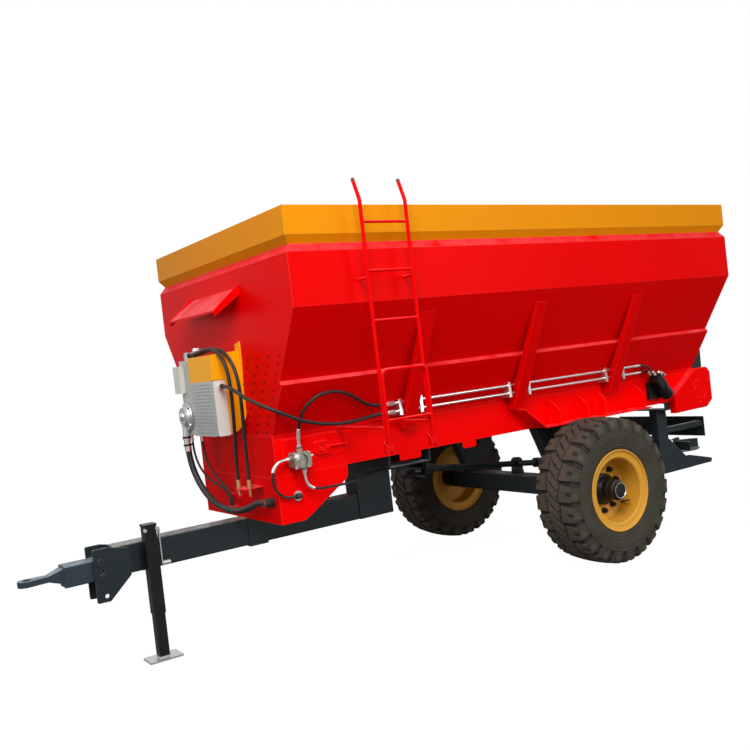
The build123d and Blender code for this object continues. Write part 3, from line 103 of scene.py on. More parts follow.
# Floor: a plain pale yard, drawn nearly white, so that only a faint shadow shows under the machine.
# Other rays than the camera's see plain grey ground, which keeps the underside from glowing.
yard_reach = 60
yard_corners = [(x * yard_reach, y * yard_reach, 0) for x, y in ((-1, -1), (1, -1), (1, 1), (-1, 1))]
yard_mesh = bpy.data.meshes.new("yard")
yard_mesh.from_pydata(yard_corners, [], [(0, 1, 2, 3)])
yard = bpy.data.objects.new("yard", yard_mesh)
scene.collection.objects.link(yard)
material = bpy.data.materials.new("yard")
material.use_nodes = True
ground = material.node_tree
plain = ground.nodes["Principled BSDF"]
plain.inputs["Base Color"].default_value = (0.24, 0.24, 0.24, 1)
plain.inputs["Roughness"].default_value = 0.9
glow = ground.nodes.new("ShaderNodeEmission")
glow.inputs["Strength"].default_value = 1.10
path = ground.nodes.new("ShaderNodeLightPath")
share_of_glow = 0.90
glowing = sum_node(ground, "MULTIPLY", path.outputs["Is Camera Ray"], share_of_glow)
mix = ground.nodes.new("ShaderNodeMixShader")
ground.links.new(glowing, mix.inputs["Fac"])
ground.links.new(plain.outputs[0], mix.inputs[1])
ground.links.new(glow.outputs[0], mix.inputs[2])
ground.links.new(mix.outputs[0], ground.nodes["Material Output"].inputs["Surface"])
yard_mesh.materials.append(material)

# Shared effect "weather": mottled tone, road dust that lies on flat tops and low down (on the red
# paints a pale pink painted reflection of the sky), edges lightened as a painted highlight, and the
# fine ripple of sprayed paint or cast skin. Each finish gives its own amounts.
weather = bpy.data.node_groups.new("weather", "ShaderNodeTree")
for name, default in (("Scale", 4.0), ("Dust And Sheen", 0.3), ("Dust Height", 0.9), ("Ripple", 0.1),
                      ("Ripple Scale", 90.0)):
    weather.interface.new_socket(name, in_out="INPUT", socket_type="NodeSocketFloat").default_value = default
for name in ("Mottle", "Dust And Sheen", "Edge Highlight"):
    weather.interface.new_socket(name, in_out="OUTPUT", socket_type="NodeSocketFloat")
weather.interface.new_socket("Normal", in_out="OUTPUT", socket_type="NodeSocketVector")


def ranged(tree, value, source=(0.0, 1.0), target=(0.0, 1.0)):
    """The result of a map range node, whose ends are numbers or sockets."""
    node = tree.nodes.new("ShaderNodeMapRange")
    tree.links.new(value, node.inputs["Value"])
    for name, end in zip(("From Min", "From Max", "To Min", "To Max"), source + target):
        if isinstance(end, bpy.types.NodeSocket):
            tree.links.new(end, node.inputs[name])
        else:
            node.inputs[name].default_value = end
    return node.outputs[0]


def part_of_vector(tree, vector, axis):
    """One of a vector's X, Y and Z."""
    node = tree.nodes.new("ShaderNodeSeparateXYZ")
    tree.links.new(vector, node.inputs[0])
    return node.outputs[axis]


given = weather.nodes.new("NodeGroupInput")
made = weather.nodes.new("NodeGroupOutput")
where = weather.nodes.new("ShaderNodeTexCoord")
mottle = weather.nodes.new("ShaderNodeTexNoise")
mottle.inputs["Detail"].default_value = 5
weather.links.new(where.outputs["Object"], mottle.inputs["Vector"])
weather.links.new(given.outputs["Scale"], mottle.inputs["Scale"])
weather.links.new(mottle.outputs["Fac"], made.inputs["Mottle"])
low_down = ranged(weather, part_of_vector(weather, where.outputs["Object"], "Z"),
                  (0.0, given.outputs["Dust Height"]), (1.0, 0.0))
# Flat tops: road dust settles there, and on the red paints this mask lays a pale pink painted reflection of
# the sky.
flat_top = ranged(weather, part_of_vector(weather, where.outputs["Normal"], "Z"), (0.35, 1.0))
patch = weather.nodes.new("ShaderNodeTexNoise")
patch.inputs["Scale"].default_value = 7
patch.inputs["Detail"].default_value = 8
patch.inputs["Roughness"].default_value = 0.65
weather.links.new(where.outputs["Object"], patch.inputs["Vector"])
ragged = ranged(weather, patch.outputs["Fac"], (0.3, 0.75))
dust_and_sheen_lies = sum_node(weather, "MULTIPLY", sum_node(weather, "MAXIMUM", low_down, flat_top), ragged)
weather.links.new(sum_node(weather, "MULTIPLY", dust_and_sheen_lies, given.outputs["Dust And Sheen"]), made.inputs["Dust And Sheen"])
# Edge: the edges and folds of the sheets, found by a bevel, where the colour is lightened as a painted
# highlight.
rounded = weather.nodes.new("ShaderNodeBevel")
rounded.samples = 4
rounded.inputs["Radius"].default_value = 0.006
flat = weather.nodes.new("ShaderNodeNewGeometry")
leaning = weather.nodes.new("ShaderNodeVectorMath")
leaning.operation = "DOT_PRODUCT"
weather.links.new(rounded.outputs[0], leaning.inputs[0])
weather.links.new(flat.outputs["Normal"], leaning.inputs[1])
weather.links.new(ranged(weather, leaning.outputs["Value"], (0.998, 0.93)), made.inputs["Edge Highlight"])
grain = weather.nodes.new("ShaderNodeTexNoise")
grain.inputs["Detail"].default_value = 2
weather.links.new(where.outputs["Object"], grain.inputs["Vector"])
weather.links.new(given.outputs["Ripple Scale"], grain.inputs["Scale"])
bump = weather.nodes.new("ShaderNodeBump")
bump.inputs["Distance"].default_value = 0.002
weather.links.new(grain.outputs["Fac"], bump.inputs["Height"])
weather.links.new(given.outputs["Ripple"], bump.inputs["Strength"])
weather.links.new(bump.outputs["Normal"], made.inputs["Normal"])

# Chassis: the drawbar, the axle with its hangers and the tail frame are welded from box tube and
# plate, and sprayed a dark slate enamel. The gear case and the shaft wear the same, and the
# spreading discs are given the same dark colour.
paints = {}


def colour_mix(tree, factor, first, second, blend_type="MIX"):
    """The result of a colour mix; each of its three inputs is a value or a socket."""
    node = tree.nodes.new("ShaderNodeMix")
    node.data_type = "RGBA"
    node.blend_type = blend_type
    for name, value in (("Factor", factor), ("A", first), ("B", second)):
        if isinstance(value, bpy.types.NodeSocket):
            tree.links.new(value, node.inputs[name])
        else:
            node.inputs[name].default_value = value
    return node.outputs["Result"]


def finish(name, colour, roughness, specular, metallic=0.0, patches=10.0, dark=0.8, dust_and_sheen=0.2,
           dust_height=0.6, dust_and_sheen_colour=(0.33, 0.27, 0.20), ripple=0.1, ripple_scale=90):
    """Adds a material to the paints. Patches is the scale of its mottle, down to dark of the colour."""
    material = bpy.data.materials.new(name)
    material.use_nodes = True
    tree = material.node_tree
    shader = tree.nodes["Principled BSDF"]
    group = tree.nodes.new("ShaderNodeGroup")
    group.node_tree = weather
    for socket, value in (("Scale", patches), ("Dust And Sheen", dust_and_sheen), ("Dust Height", dust_height),
                          ("Ripple", ripple), ("Ripple Scale", ripple_scale)):
        group.inputs[socket].default_value = value
    darkest = (*(dark * c for c in colour), 1)
    # Edges are mixed towards a lighter colour as a painted highlight along the folds.
    edge_highlight_gain, edge_highlight_lift, edge_highlight_share = 1.12, 0.035, 0.55
    edge_highlight_colour = (*(min(1.0, edge_highlight_gain * c + edge_highlight_lift) for c in colour), 1)
    toned = colour_mix(tree, group.outputs["Mottle"], darkest, (*colour, 1))
    # Dust colour over the dust mask; on the red paints it is a pale pink painted reflection of the sky.
    dusty_and_sheened = colour_mix(tree, group.outputs["Dust And Sheen"], toned, (*dust_and_sheen_colour, 1))
    edge_highlights = sum_node(tree, "MULTIPLY", group.outputs["Edge Highlight"], edge_highlight_share)
    tree.links.new(colour_mix(tree, edge_highlights, dusty_and_sheened, edge_highlight_colour), shader.inputs["Base Color"])
    dulled_by_dust = 0.35
    dusty_roughness = min(1.0, roughness + dulled_by_dust)
    tree.links.new(ranged(tree, group.outputs["Dust And Sheen"], target=(roughness, dusty_roughness)),
                   shader.inputs["Roughness"])
    tree.links.new(group.outputs["Normal"], shader.inputs["Normal"])
    shader.inputs["Metallic"].default_value = metallic
    shader.inputs["Specular IOR Level"].default_value = specular
    paints[name] = material


def coat(material, *nodes):
    """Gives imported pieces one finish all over."""
    for node in nodes:
        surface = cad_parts[node].data.materials
        surface.clear()
        surface.append(material)


finish("dark_paint", (0.016, 0.025, 0.028), roughness=0.42, specular=0.25, patches=3.0, dark=0.75, dust_and_sheen=0.95,
       dust_height=0.15, dust_and_sheen_colour=(0.50, 0.49, 0.47), ripple=0.08, ripple_scale=60)
coat(paints["dark_paint"], "axle", "axle_hangers", "drawbar", "drive_shaft", "gear_case", "spinner_left",
     "spinner_right", "tail_frame")

# Towing eye: a drop forging with the blue-grey scale of the hammer still on it, welded into the
# front of the drawbar's tongue.
finish("forged_steel", (0.030, 0.048, 0.062), roughness=0.45, specular=0.5, metallic=0.35, patches=14.0,
       dark=0.7, dust_and_sheen=0.90, dust_height=0.15, dust_and_sheen_colour=(0.42, 0.50, 0.58), ripple=0.35, ripple_scale=120)
coat(paints["forged_steel"], "hitch_eye")

# Parking jack: a square tube enamelled black, a black leg that slides in it on a galvanised foot,
# a zinc-plated crank, and two bright hexagon bolts through the head of the tube.
finish("black_steel", (0.005, 0.005, 0.005), roughness=0.36, specular=0.28, patches=8.0, dust_and_sheen=0.04,
       dust_height=0.8)
finish("plated_steel", (0.80, 0.79, 0.77), roughness=0.24, specular=0.5, metallic=0.9, patches=16.0,
       dust_height=0.5, ripple_scale=160)
finish("galvanised", (0.52, 0.54, 0.55), roughness=0.45, specular=0.5, metallic=0.75, patches=18.0, dark=0.65,
       dust_and_sheen=0.25, dust_height=0.2, ripple=0.2, ripple_scale=60)


def two_tone(node, base, other_colour, other_metallic, ends, axis):
    """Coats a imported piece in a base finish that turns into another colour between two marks."""
    material = paints[base].copy()
    material.name = node + "_two_tone"
    tree = material.node_tree
    place = tree.nodes.new("ShaderNodeTexCoord")
    zone = ranged(tree, part_of_vector(tree, place.outputs["Object"], axis), ends)
    shader = tree.nodes["Principled BSDF"]
    painted = shader.inputs["Base Color"].links[0].from_socket
    tree.links.new(colour_mix(tree, zone, painted, (*other_colour, 1)), shader.inputs["Base Color"])
    metals = (shader.inputs["Metallic"].default_value, other_metallic)
    tree.links.new(ranged(tree, zone, target=metals), shader.inputs["Metallic"])
    coat(material, node)


def swept(name, line, profile, corners=18):
    """A closed turned mesh along a line; the profile is pairs of distance along it and radius."""
    marks = [0.0]
    for a, b in zip(line, line[1:]):
        marks.append(marks[-1] + (b - a).length)
    rings = {distance for distance, radius in profile}
    rings |= {mark for mark in marks if profile[0][0] < mark < profile[-1][0]}
    rings = sorted(rings)
    aslant = Vector((0.31, 0.87, 0.39))  # along none of the lines, so the rings never twist
    points, faces = [], []
    for distance in rings:
        run = min(max(sum(mark <= distance for mark in marks) - 1, 0), len(line) - 2)
        along = (line[run + 1] - line[run]).normalized()
        centre = line[run] + along * (distance - marks[run])
        step_before = [step for step in profile if step[0] <= distance][-1]
        step_after = [step for step in profile if step[0] >= distance][0]
        gap = step_after[0] - step_before[0]
        share = (distance - step_before[0]) / gap if gap else 0.0
        radius = step_before[1] + share * (step_after[1] - step_before[1])
        first = along.cross(aslant).normalized()
        second = along.cross(first)
        points += [centre + radius * (math.cos(turn * 2 * math.pi / corners) * first
                                      + math.sin(turn * 2 * math.pi / corners) * second)
                   for turn in range(corners)]
    for ring in range(len(rings) - 1):
        for turn in range(corners):
            beyond = (turn + 1) % corners
            faces.append((ring * corners + turn, ring * corners + beyond, (ring + 1) * corners + beyond,
                          (ring + 1) * corners + turn))
    faces.append(tuple(range(corners - 1, -1, -1)))
    faces.append(tuple((len(rings) - 1) * corners + turn for turn in range(corners)))
    mesh = bpy.data.meshes.new(name)
    mesh.from_pydata(points, [], faces)
    sharp_turn = 35
    mesh.shade_smooth()
    mesh.set_sharp_from_angle(angle=math.radians(sharp_turn))
    return mesh


def fit(piece, body):
    """Puts a finished piece in the scene, on the body that carries it."""
    scene.collection.objects.link(piece)
    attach(piece, body)


def turned_bits(rows):
    """Small turned or hexagonal pieces: name, paint, slot (not used), line, profile, corners."""
    for name, paint, slot_name, line, profile, corners in rows:
        bit = bpy.data.objects.new(name, swept(name, [Vector(place) for place in line], profile, corners))
        bit.data.materials.append(paints[paint])
        fit(bit, "root")


coat(paints["black_steel"], "jack_tube")
coat(paints["plated_steel"], "jack_crank")
two_tone("jack_leg", "black_steel", (0.52, 0.54, 0.55), 0.75, (0.022, 0.018), "Z")
head_face, head_out, head_z, bolt_radius = 0.183, 0.195, 0.838, 0.012
turned_bits([
    (f"jack_head_bolt_{end}", "galvanised", "plated_steel", ((x, head_face, head_z), (x, head_out, head_z)),
     ((0.0, bolt_radius), (0.012, bolt_radius)), 6)
    for end, x in (("rear", 2.219), ("front", 2.297))
])

# Tyres: dusty block tread on two wide road casings, moulded in one with the sidewall. Each is a
# grid round the axle line; every pitch has a slanting shoulder groove on each side, half a pitch
# apart, which the two zigzag grooves and the centre cuts join.
finish("rubber", (0.050, 0.043, 0.036), roughness=0.72, specular=0.25, patches=9.0, dark=0.6, dust_and_sheen=0.5,
       dust_height=1.2, ripple=0.3, ripple_scale=240)
coat(paints["rubber"], "tyre_left", "tyre_right")
wheel_x, wheel_y, wheel_z = -1.0425, 0.966, 0.556
pitches, rows_per_pitch = 22, 24
tread_half, tyre_radius, tread_crown, crown_steps = 0.168, 0.556, 0.011, 20
shoulder_groove, zigzag_groove, centre_cut, shoulder_notch = 0.022, 0.019, 0.014, 0.006
flank_radius, flank_depth, bead_radius = 0.542, 0.05, 0.460
groove_slant, cut_slant, half_cut = 0.12, 0.9, 0.050
crown = [(tread_half * v / crown_steps, tyre_radius - tread_crown * (v / crown_steps) ** 2)
         for v in range(-crown_steps, crown_steps + 1)]
shoulder = ((0.174, 0.540), (0.180, 0.530), (0.184, 0.518), (0.188, 0.504), (0.1915, 0.490),
            (0.1945, 0.476), (0.1965, 0.464))
sidewall = ((0.1935, 0.458), (0.1975, 0.452), (0.1975, 0.446), (0.1945, 0.441), (0.196, 0.425),
            (0.195, 0.405), (0.190, 0.382), (0.187, 0.368), (0.189, 0.364), (0.186, 0.358),
            (0.181, 0.340), (0.182, 0.335), (0.178, 0.330), (0.171, 0.316), (0.169, 0.306),
            (0.160, 0.292))
section = [(-out, radius) for out, radius in reversed(shoulder + sidewall)]
section += crown + list(shoulder + sidewall)


def groove_depth(out, radius, phase, side_phase):
    """How deep the tread is cut at a place; the phases run from 0 to 1 over each pitch."""
    across = abs(out) / tread_half
    from_groove = min(side_phase, 1 - side_phase)
    half_groove = 0.065 + 0.095 * max(0.0, across - 0.3)
    zigzag = 0.30 + 0.15 * side_phase
    from_cut = abs((phase + cut_slant * out / tread_half) % 0.5 - 0.25)
    if radius <= bead_radius:
        return 0.0
    if across >= 0.27 and from_groove < half_groove:
        return shoulder_groove
    if across < 1.02 and abs(across - zigzag) < half_cut:
        return zigzag_groove
    if across < 0.3 and from_cut < half_cut:
        return centre_cut
    if 0.78 < across < 1.06 and 0.40 < side_phase < 0.60:
        return shoulder_notch
    return 0.0


points, faces, scuffs_and_groove_shade = [], [], []
rows = pitches * rows_per_pitch
for row in range(rows):
    turn = 2 * math.pi * row / rows
    phase = row / rows_per_pitch
    for out, radius in section:
        side_phase = (phase + (0.5 if out < 0 else 0.0) + groove_slant * (abs(out) / tread_half)) % 1.0
        depth = groove_depth(out, radius, phase, side_phase)
        if radius < flank_radius:
            lean = min(1.0, (flank_radius - radius) / flank_depth)
            out -= math.copysign(depth * lean * 0.55, out)
            radius -= depth * (1 - 0.6 * lean)
            on_lug = 0.30 < side_phase < 0.62 and 0.476 < radius < 0.532
            scuff_and_groove_shade = (0.9 if on_lug else 0.35) if depth == 0 else 0.0
        else:
            scuff_and_groove_shade = 1.0 if depth == 0 and abs(out) / tread_half < 1.03 else 0.0
            radius -= depth
        points.append((radius * math.cos(turn), out, radius * math.sin(turn)))
        scuffs_and_groove_shade.append(scuff_and_groove_shade)
columns = len(section)
for row in range(rows):
    here, beyond = row * columns, (row + 1) % rows * columns
    for column in range(columns - 1):
        faces.append((here + column, beyond + column, beyond + column + 1, here + column + 1))
rubber_mesh = bpy.data.meshes.new("tyre_rubber")
rubber_mesh.from_pydata(points, [], faces)
rubber_mesh.attributes.new("tread", "FLOAT", "POINT").data.foreach_set("value", scuffs_and_groove_shade)
rubber_mesh.shade_smooth()
rubber_mesh.set_sharp_from_angle(angle=math.radians(28))
material = paints["rubber"].copy()
material.name = "tyre_rubber"
tree = material.node_tree
tread = tree.nodes.new("ShaderNodeAttribute")
tread.attribute_name = "tread"
group = next(node for node in tree.nodes if node.type == "GROUP")
# Colour from the tread attribute: near black in the grooves as painted shade, lighter on the scuffed tops of
# the blocks.
scuffed_and_groove_shaded = colour_mix(tree, tread.outputs["Fac"], (0.026, 0.024, 0.018, 1), (0.074, 0.062, 0.045, 1))
blotched = colour_mix(tree, 0.6, scuffed_and_groove_shaded, group.outputs["Mottle"], "MULTIPLY")
dry = colour_mix(tree, 0.5, blotched, blotched, "ADD")
tree.links.new(dry, tree.nodes["Principled BSDF"].inputs["Base Color"])
rubber_mesh.materials.append(material)

# Rims and hubs: pressed one-piece rims with a deep dish, lacquered yellow, a black cast hub with
# a greased cap, ten wheel nuts and a snap-in valve. Outlines run outboard of the wheel's middle.
finish("rim_paint", (0.78, 0.36, 0.014), roughness=0.42, specular=0.30, patches=6.0, dust_and_sheen=0.35,
       dust_height=1.0, dust_and_sheen_colour=(0.50, 0.32, 0.12), ripple=0.06, ripple_scale=80)
coat(paints["rim_paint"], "rim_left", "rim_right")
coat(paints["black_steel"], "hub_left", "hub_right")
rim_outline = (
    (0.178, 0.309), (0.180, 0.3035), (0.176, 0.2985), (0.166, 0.2965), (0.163, 0.2900), (0.163, 0.2540),
    (0.156, 0.2440), (0.140, 0.2405), (0.060, 0.2390), (0.020, 0.2370), (-0.004, 0.2310),
    (-0.013, 0.2200), (-0.016, 0.2000), (-0.016, 0.0730), (-0.030, 0.0720), (-0.030, 0.2385),
    (-0.160, 0.2400), (-0.163, 0.2900), (-0.176, 0.2985), (-0.180, 0.3035), (-0.178, 0.309),
    (-0.170, 0.3085), (-0.163, 0.2990), (-0.155, 0.2885), (-0.130, 0.2840), (-0.100, 0.2490),
    (0.096, 0.2490), (0.130, 0.2840), (0.155, 0.2885), (0.163, 0.2990), (0.170, 0.3085),
)
hub_outline = (
    (-0.1500, 0.0430), (-0.1500, 0.0920), (-0.0300, 0.0920), (-0.0300, 0.0715), (-0.0155, 0.0715),
    (-0.0155, 0.1200), (0.0180, 0.1200), (0.0215, 0.1165), (0.0240, 0.1060), (0.0520, 0.0800),
    (0.0620, 0.0785), (0.1000, 0.0785), (0.1020, 0.0760), (0.1060, 0.0760), (0.1080, 0.0785),
    (0.1500, 0.0785), (0.1520, 0.0700), (0.1560, 0.0660), (0.1720, 0.0640), (0.1765, 0.0600),
    (0.1765, 0.0560), (0.1745, 0.0545), (0.1745, 0.0), (0.1020, 0.0), (0.1020, 0.0430),
)
nuts, nut_circle, valve_circle = 10, 0.168, 0.232


def turned_ring(name, outline, segments):
    """A closed outline turned round the wheel's axle."""
    count = len(outline)
    points = [(radius * math.cos(2 * math.pi * turn / segments), out,
               radius * math.sin(2 * math.pi * turn / segments))
              for turn in range(segments) for out, radius in outline]
    faces = [(turn * count + i, turn * count + (i + 1) % count,
              (turn + 1) % segments * count + (i + 1) % count, (turn + 1) % segments * count + i)
             for turn in range(segments) for i in range(count)]
    mesh = bpy.data.meshes.new(name)
    mesh.from_pydata(points, [], faces)
    mesh.shade_smooth()
    mesh.set_sharp_from_angle(angle=math.radians(32))
    return mesh


def stacked_drums(name, drums):
    """Solid drums on the wheel's own axis: radius, inboard end, outboard end, corners."""
    shape = bmesh.new()
    for radius, low, high, corners in drums:
        lying = Matrix.Translation((0, (high + low) / 2, 0)) @ Matrix.Rotation(math.pi / 2, 4, "X")
        bmesh.ops.create_cone(shape, cap_ends=True, segments=corners, radius1=radius, radius2=radius,
                              depth=high - low, matrix=lying)
    mesh = bpy.data.meshes.new(name)
    shape.to_mesh(mesh)
    shape.free()
    mesh.materials.append(paints["black_steel"])
    return mesh


rim_mesh = turned_ring("rim_turned", rim_outline, 120)
rim_mesh.materials.append(paints["rim_paint"])
hub_mesh = turned_ring("hub_turned", hub_outline, 72)
hub_mesh.materials.append(paints["black_steel"])
hub_mesh.materials.append(paints["plated_steel"])
for face in hub_mesh.polygons:
    from_axle = math.hypot(face.center.x, face.center.z)
    bright_ring = face.center.y > 0.1740 and 0.0515 < from_axle < 0.0605
    face.material_index = 1 if bright_ring else 0
nut_mesh = stacked_drums("wheel_nut", ((0.021, -0.016, 0.009, 6), (0.024, -0.016, -0.011, 24),
                                       (0.011, 0.009, 0.024, 16)))
valve_mesh = stacked_drums("tyre_valve", ((0.0085, 0.0, 0.05, 16), (0.0055, 0.04, 0.115, 16),
                                          (0.0065, 0.105, 0.125, 16)))
for side, label, valve_turn in ((1, "left", -145), (-1, "right", 35)):
    wheel = "wheel_" + label
    stands = Matrix.Translation((wheel_x, side * wheel_y, wheel_z))
    if side < 0:
        stands = stands @ Matrix.Rotation(math.pi, 4, "Z")
    for mesh, node, slot_name in ((rubber_mesh, "tyre", "tyre"), (rim_mesh, "rim", "rim_paint"),
                                  (hub_mesh, "hub", "black_steel")):
        piece = bpy.data.objects.new(f"{node}_{label}_look", mesh)
        piece.matrix_world = stands
        fit(piece, wheel)
        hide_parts(f"{node}_{label}")
    for nut in range(nuts):
        piece = bpy.data.objects.new(f"wheel_nut_{label}_{nut}", nut_mesh)
        turn = 2 * math.pi * (nut + 0.5) / nuts
        nut_place = (nut_circle * math.cos(turn), 0, nut_circle * math.sin(turn))
        piece.matrix_world = stands @ Matrix.Translation(nut_place)
        fit(piece, wheel)
    piece = bpy.data.objects.new("tyre_valve_" + label, valve_mesh)
    piece.matrix_world = (stands @ Matrix.Rotation(-math.radians(valve_turn), 4, "Y")
                          @ Matrix.Translation((valve_circle, -0.002, 0))
                          @ Matrix.Rotation(math.radians(22), 4, "Z"))
    fit(piece, wheel)

# Hopper: folded sheet steel on welded ribs, sprayed red, with a raised band of the same sheet in
# orange-yellow set round its brim. The gate, the hood and the right rail are sprayed with it.
# Its pale pink dust colour is a painted reflection of the sky on the flat tops and ledges.
finish("red_paint", (0.82, 0.0, 0.0), roughness=0.36, specular=0.03, patches=1.6, dark=0.88, dust_and_sheen=0.60,
       dust_height=0.3, dust_and_sheen_colour=(0.95, 0.32, 0.36), ripple=0.04, ripple_scale=60)
finish("yellow_paint", (0.77, 0.265, 0.001), roughness=0.40, specular=0.05, patches=1.8, dark=0.92, dust_and_sheen=0.30,
       dust_height=0.3, dust_and_sheen_colour=(0.90, 0.62, 0.28), ripple=0.05, ripple_scale=60)
coat(paints["red_paint"], "brim", "floor", "gate", "hood", "rail_right", "rear_plate", "ribs", "side_left",
     "side_right")
coat(paints["yellow_paint"], "extension_band")

# Front sheet: red like the hopper, with four leaning columns of small drilled holes on each side
# that follow its taper. They are drawn as dark dots of painted shade, the shade inside each hole,
# because each is only 19 mm across.
hole_radius, column_pitch, row_pitch = 0.0095, 0.1507, 0.054
first_column, column_foot, lean = 0.365, 1.82, 0.62
row_foot, holes_middle, holes_reach = 1.36, 1.61, 0.28
middle_column, columns_reach = 1.5, 1.8
perforated = paints["red_paint"].copy()
perforated.name = "red_paint_perforated"
tree = perforated.node_tree
place = tree.nodes.new("ShaderNodeTexCoord")
across = sum_node(tree, "ABSOLUTE", part_of_vector(tree, place.outputs["Object"], "Y"))
high = part_of_vector(tree, place.outputs["Object"], "Z")


def from_nearest(position, pitch):
    """How far a position counted in pitches lies from the nearest whole one, in metres."""
    nearest = sum_node(tree, "ROUND", position)
    return sum_node(tree, "MULTIPLY", sum_node(tree, "SUBTRACT", position, nearest), pitch)


leant = sum_node(tree, "MULTIPLY_ADD", high, -lean, lean * column_foot - first_column)
column = sum_node(tree, "DIVIDE", sum_node(tree, "ADD", across, leant), column_pitch)
row = sum_node(tree, "DIVIDE", sum_node(tree, "SUBTRACT", high, row_foot), row_pitch)
off_column, off_row = from_nearest(column, column_pitch), from_nearest(row, row_pitch)
squares = [sum_node(tree, "MULTIPLY", off, off) for off in (off_column, off_row)]
from_centre = sum_node(tree, "SQRT", sum_node(tree, "ADD", *squares))
in_field = sum_node(tree, "MULTIPLY", sum_node(tree, "COMPARE", column, middle_column, columns_reach),
                    sum_node(tree, "COMPARE", high, holes_middle, holes_reach))
hole_shade = sum_node(tree, "MULTIPLY", sum_node(tree, "LESS_THAN", from_centre, hole_radius), in_field)
shader = tree.nodes["Principled BSDF"]
painted = shader.inputs["Base Color"].links[0].from_socket
# The holes are coloured near black as painted shade: the dark seen inside them.
tree.links.new(colour_mix(tree, hole_shade, painted, (0.03, 0.0, 0.0, 1)), shader.inputs["Base Color"])
coat(perforated, "front_plate")

# Left rail, front cheeks and rear covers: the same red, coloured brighter as painted light because
# these upright sheets catch more light, and its pale pink on flat tops is a painted reflection of
# the sky. Painted bolts hold the tensioners and covers, whose faces have raised arcs pressed in them.
finish("brighter_lit_red", (1.0, 0.0, 0.0), roughness=0.36, specular=0.03, patches=1.6, dark=0.92, dust_and_sheen=0.50,
       dust_height=0.3, dust_and_sheen_colour=(0.95, 0.16, 0.18), ripple=0.04, ripple_scale=60)
coat(paints["brighter_lit_red"], "rail_left", "rear_covers", "front_cheeks", "tensioners", "shaft_front", "shaft_rear")
bolt_head, washer_thick, washer_share = 0.010, 0.0025, 1.25
painted_bolts = (
    # x, y, z, radius
    (1.2075, 0.634, 1.205, 0.013), (1.1565, 0.634, 1.211, 0.013), (-2.7145, 0.666, 1.216, 0.014),
    (-2.7405, 0.666, 1.023, 0.014), (-2.8700, 0.666, 1.210, 0.012),
)
turned_bits([
    (f"bolt_{number}", "brighter_lit_red", "red_paint", ((x, y, z), (x, y + bolt_head, z)),
     ((0.0, radius * washer_share), (washer_thick, radius * washer_share), (washer_thick + 0.0001, radius),
      (bolt_head, radius)), 6)
    for number, (x, y, z, radius) in enumerate(painted_bolts)
])
arc_x, arc_y, arc_z, arc_height = -2.735, 0.6665, 1.125, 0.0035
arc_span, arc_sweep, arc_step = 68, 80, 8
cover_arcs = ((0.060, 10), (0.060, 130), (0.060, 250), (0.095, 40), (0.095, 160))
turned_bits([
    (f"cover_arc_{number}", "brighter_lit_red", "red_paint",
     [(arc_x + radius * math.cos(math.radians(angle)), arc_y, arc_z + radius * math.sin(math.radians(angle)))
      for angle in range(start, start + arc_sweep, arc_step)],
     ((0.0, arc_height), (radius * math.radians(arc_span), arc_height)), 8)
    for number, (radius, start) in enumerate(cover_arcs)
])

# Conveyor: two bright-worn roller chains with steel slats over the hopper's floor. Its black motor
# sits at a slant on the left rail, under a plated relief valve with two plugs.
finish("bare_steel", (0.36, 0.34, 0.31), roughness=0.46, specular=0.5, metallic=0.85, patches=9.0, dark=0.7,
       dust_and_sheen=0.3, dust_height=0.8, ripple=0.2)
coat(paints["bare_steel"], "chain_floor")
coat(paints["black_steel"], "conveyor_motor")
turned_bits((
    ("drive_valve_body", "plated_steel", "aluminium", ((-2.2000, 0.684, 1.3185), (-2.2334, 0.684, 1.3486)),
     ((0.0, 0.030), (0.026, 0.030), (0.0261, 0.018), (0.045, 0.018)), 8),
    ("drive_valve_plug", "plated_steel", "aluminium", ((-2.1700, 0.690, 1.3455), (-2.1967, 0.690, 1.3696)),
     ((0.0, 0.014), (0.024, 0.014), (0.028, 0.010)), 6),
    ("drive_valve_side", "plated_steel", "aluminium", ((-2.2130, 0.710, 1.3300), (-2.2130, 0.736, 1.3300)),
     ((0.0, 0.016), (0.014, 0.016), (0.024, 0.009)), 6),
))

# Spreading gear's oil parts: the black motor that drives the discs' shaft, and the gate's lift
# cylinder, a black barrel with a plated rod.
coat(paints["black_steel"], "spinner_motor", "lift_barrel")
coat(paints["plated_steel"], "lift_rod")

# Oil pack: a grey steel panel with an orange-yellow tank, an aluminium cooler core beside its cream
# header, and a cast pump with a bright rim, four cap screws and a turned bell.
finish("grey_paint", (0.52, 0.54, 0.50), roughness=0.45, specular=0.4, metallic=0.15, dark=0.85, ripple=0.15,
       ripple_scale=120)
finish("tank_yellow", (0.98, 0.42, 0.004), roughness=0.38, specular=0.12, patches=3.0, dark=0.95, dust_and_sheen=0.15,
       dust_height=0.3, ripple=0.05, ripple_scale=60)
finish("aluminium", (0.56, 0.58, 0.56), roughness=0.42, specular=0.5, metallic=0.75, patches=12.0, dust_and_sheen=0.25,
       ripple=0.2, ripple_scale=180)
finish("cream_paint", (0.70, 0.68, 0.58), roughness=0.45, specular=0.4, dark=0.85, ripple=0.08)
coat(paints["grey_paint"], "pump_panel")
coat(paints["tank_yellow"], "tank")
coat(paints["aluminium"], "pump")
two_tone("cooler", "aluminium", (0.70, 0.68, 0.60), 0.0, (0.262, 0.266), "Y")
pump_y, pump_z = -0.285, 1.500
screws, screw_circle, screw_foot, screw_top, screw_radius = 4, 0.087, 1.7505, 1.7585, 0.008
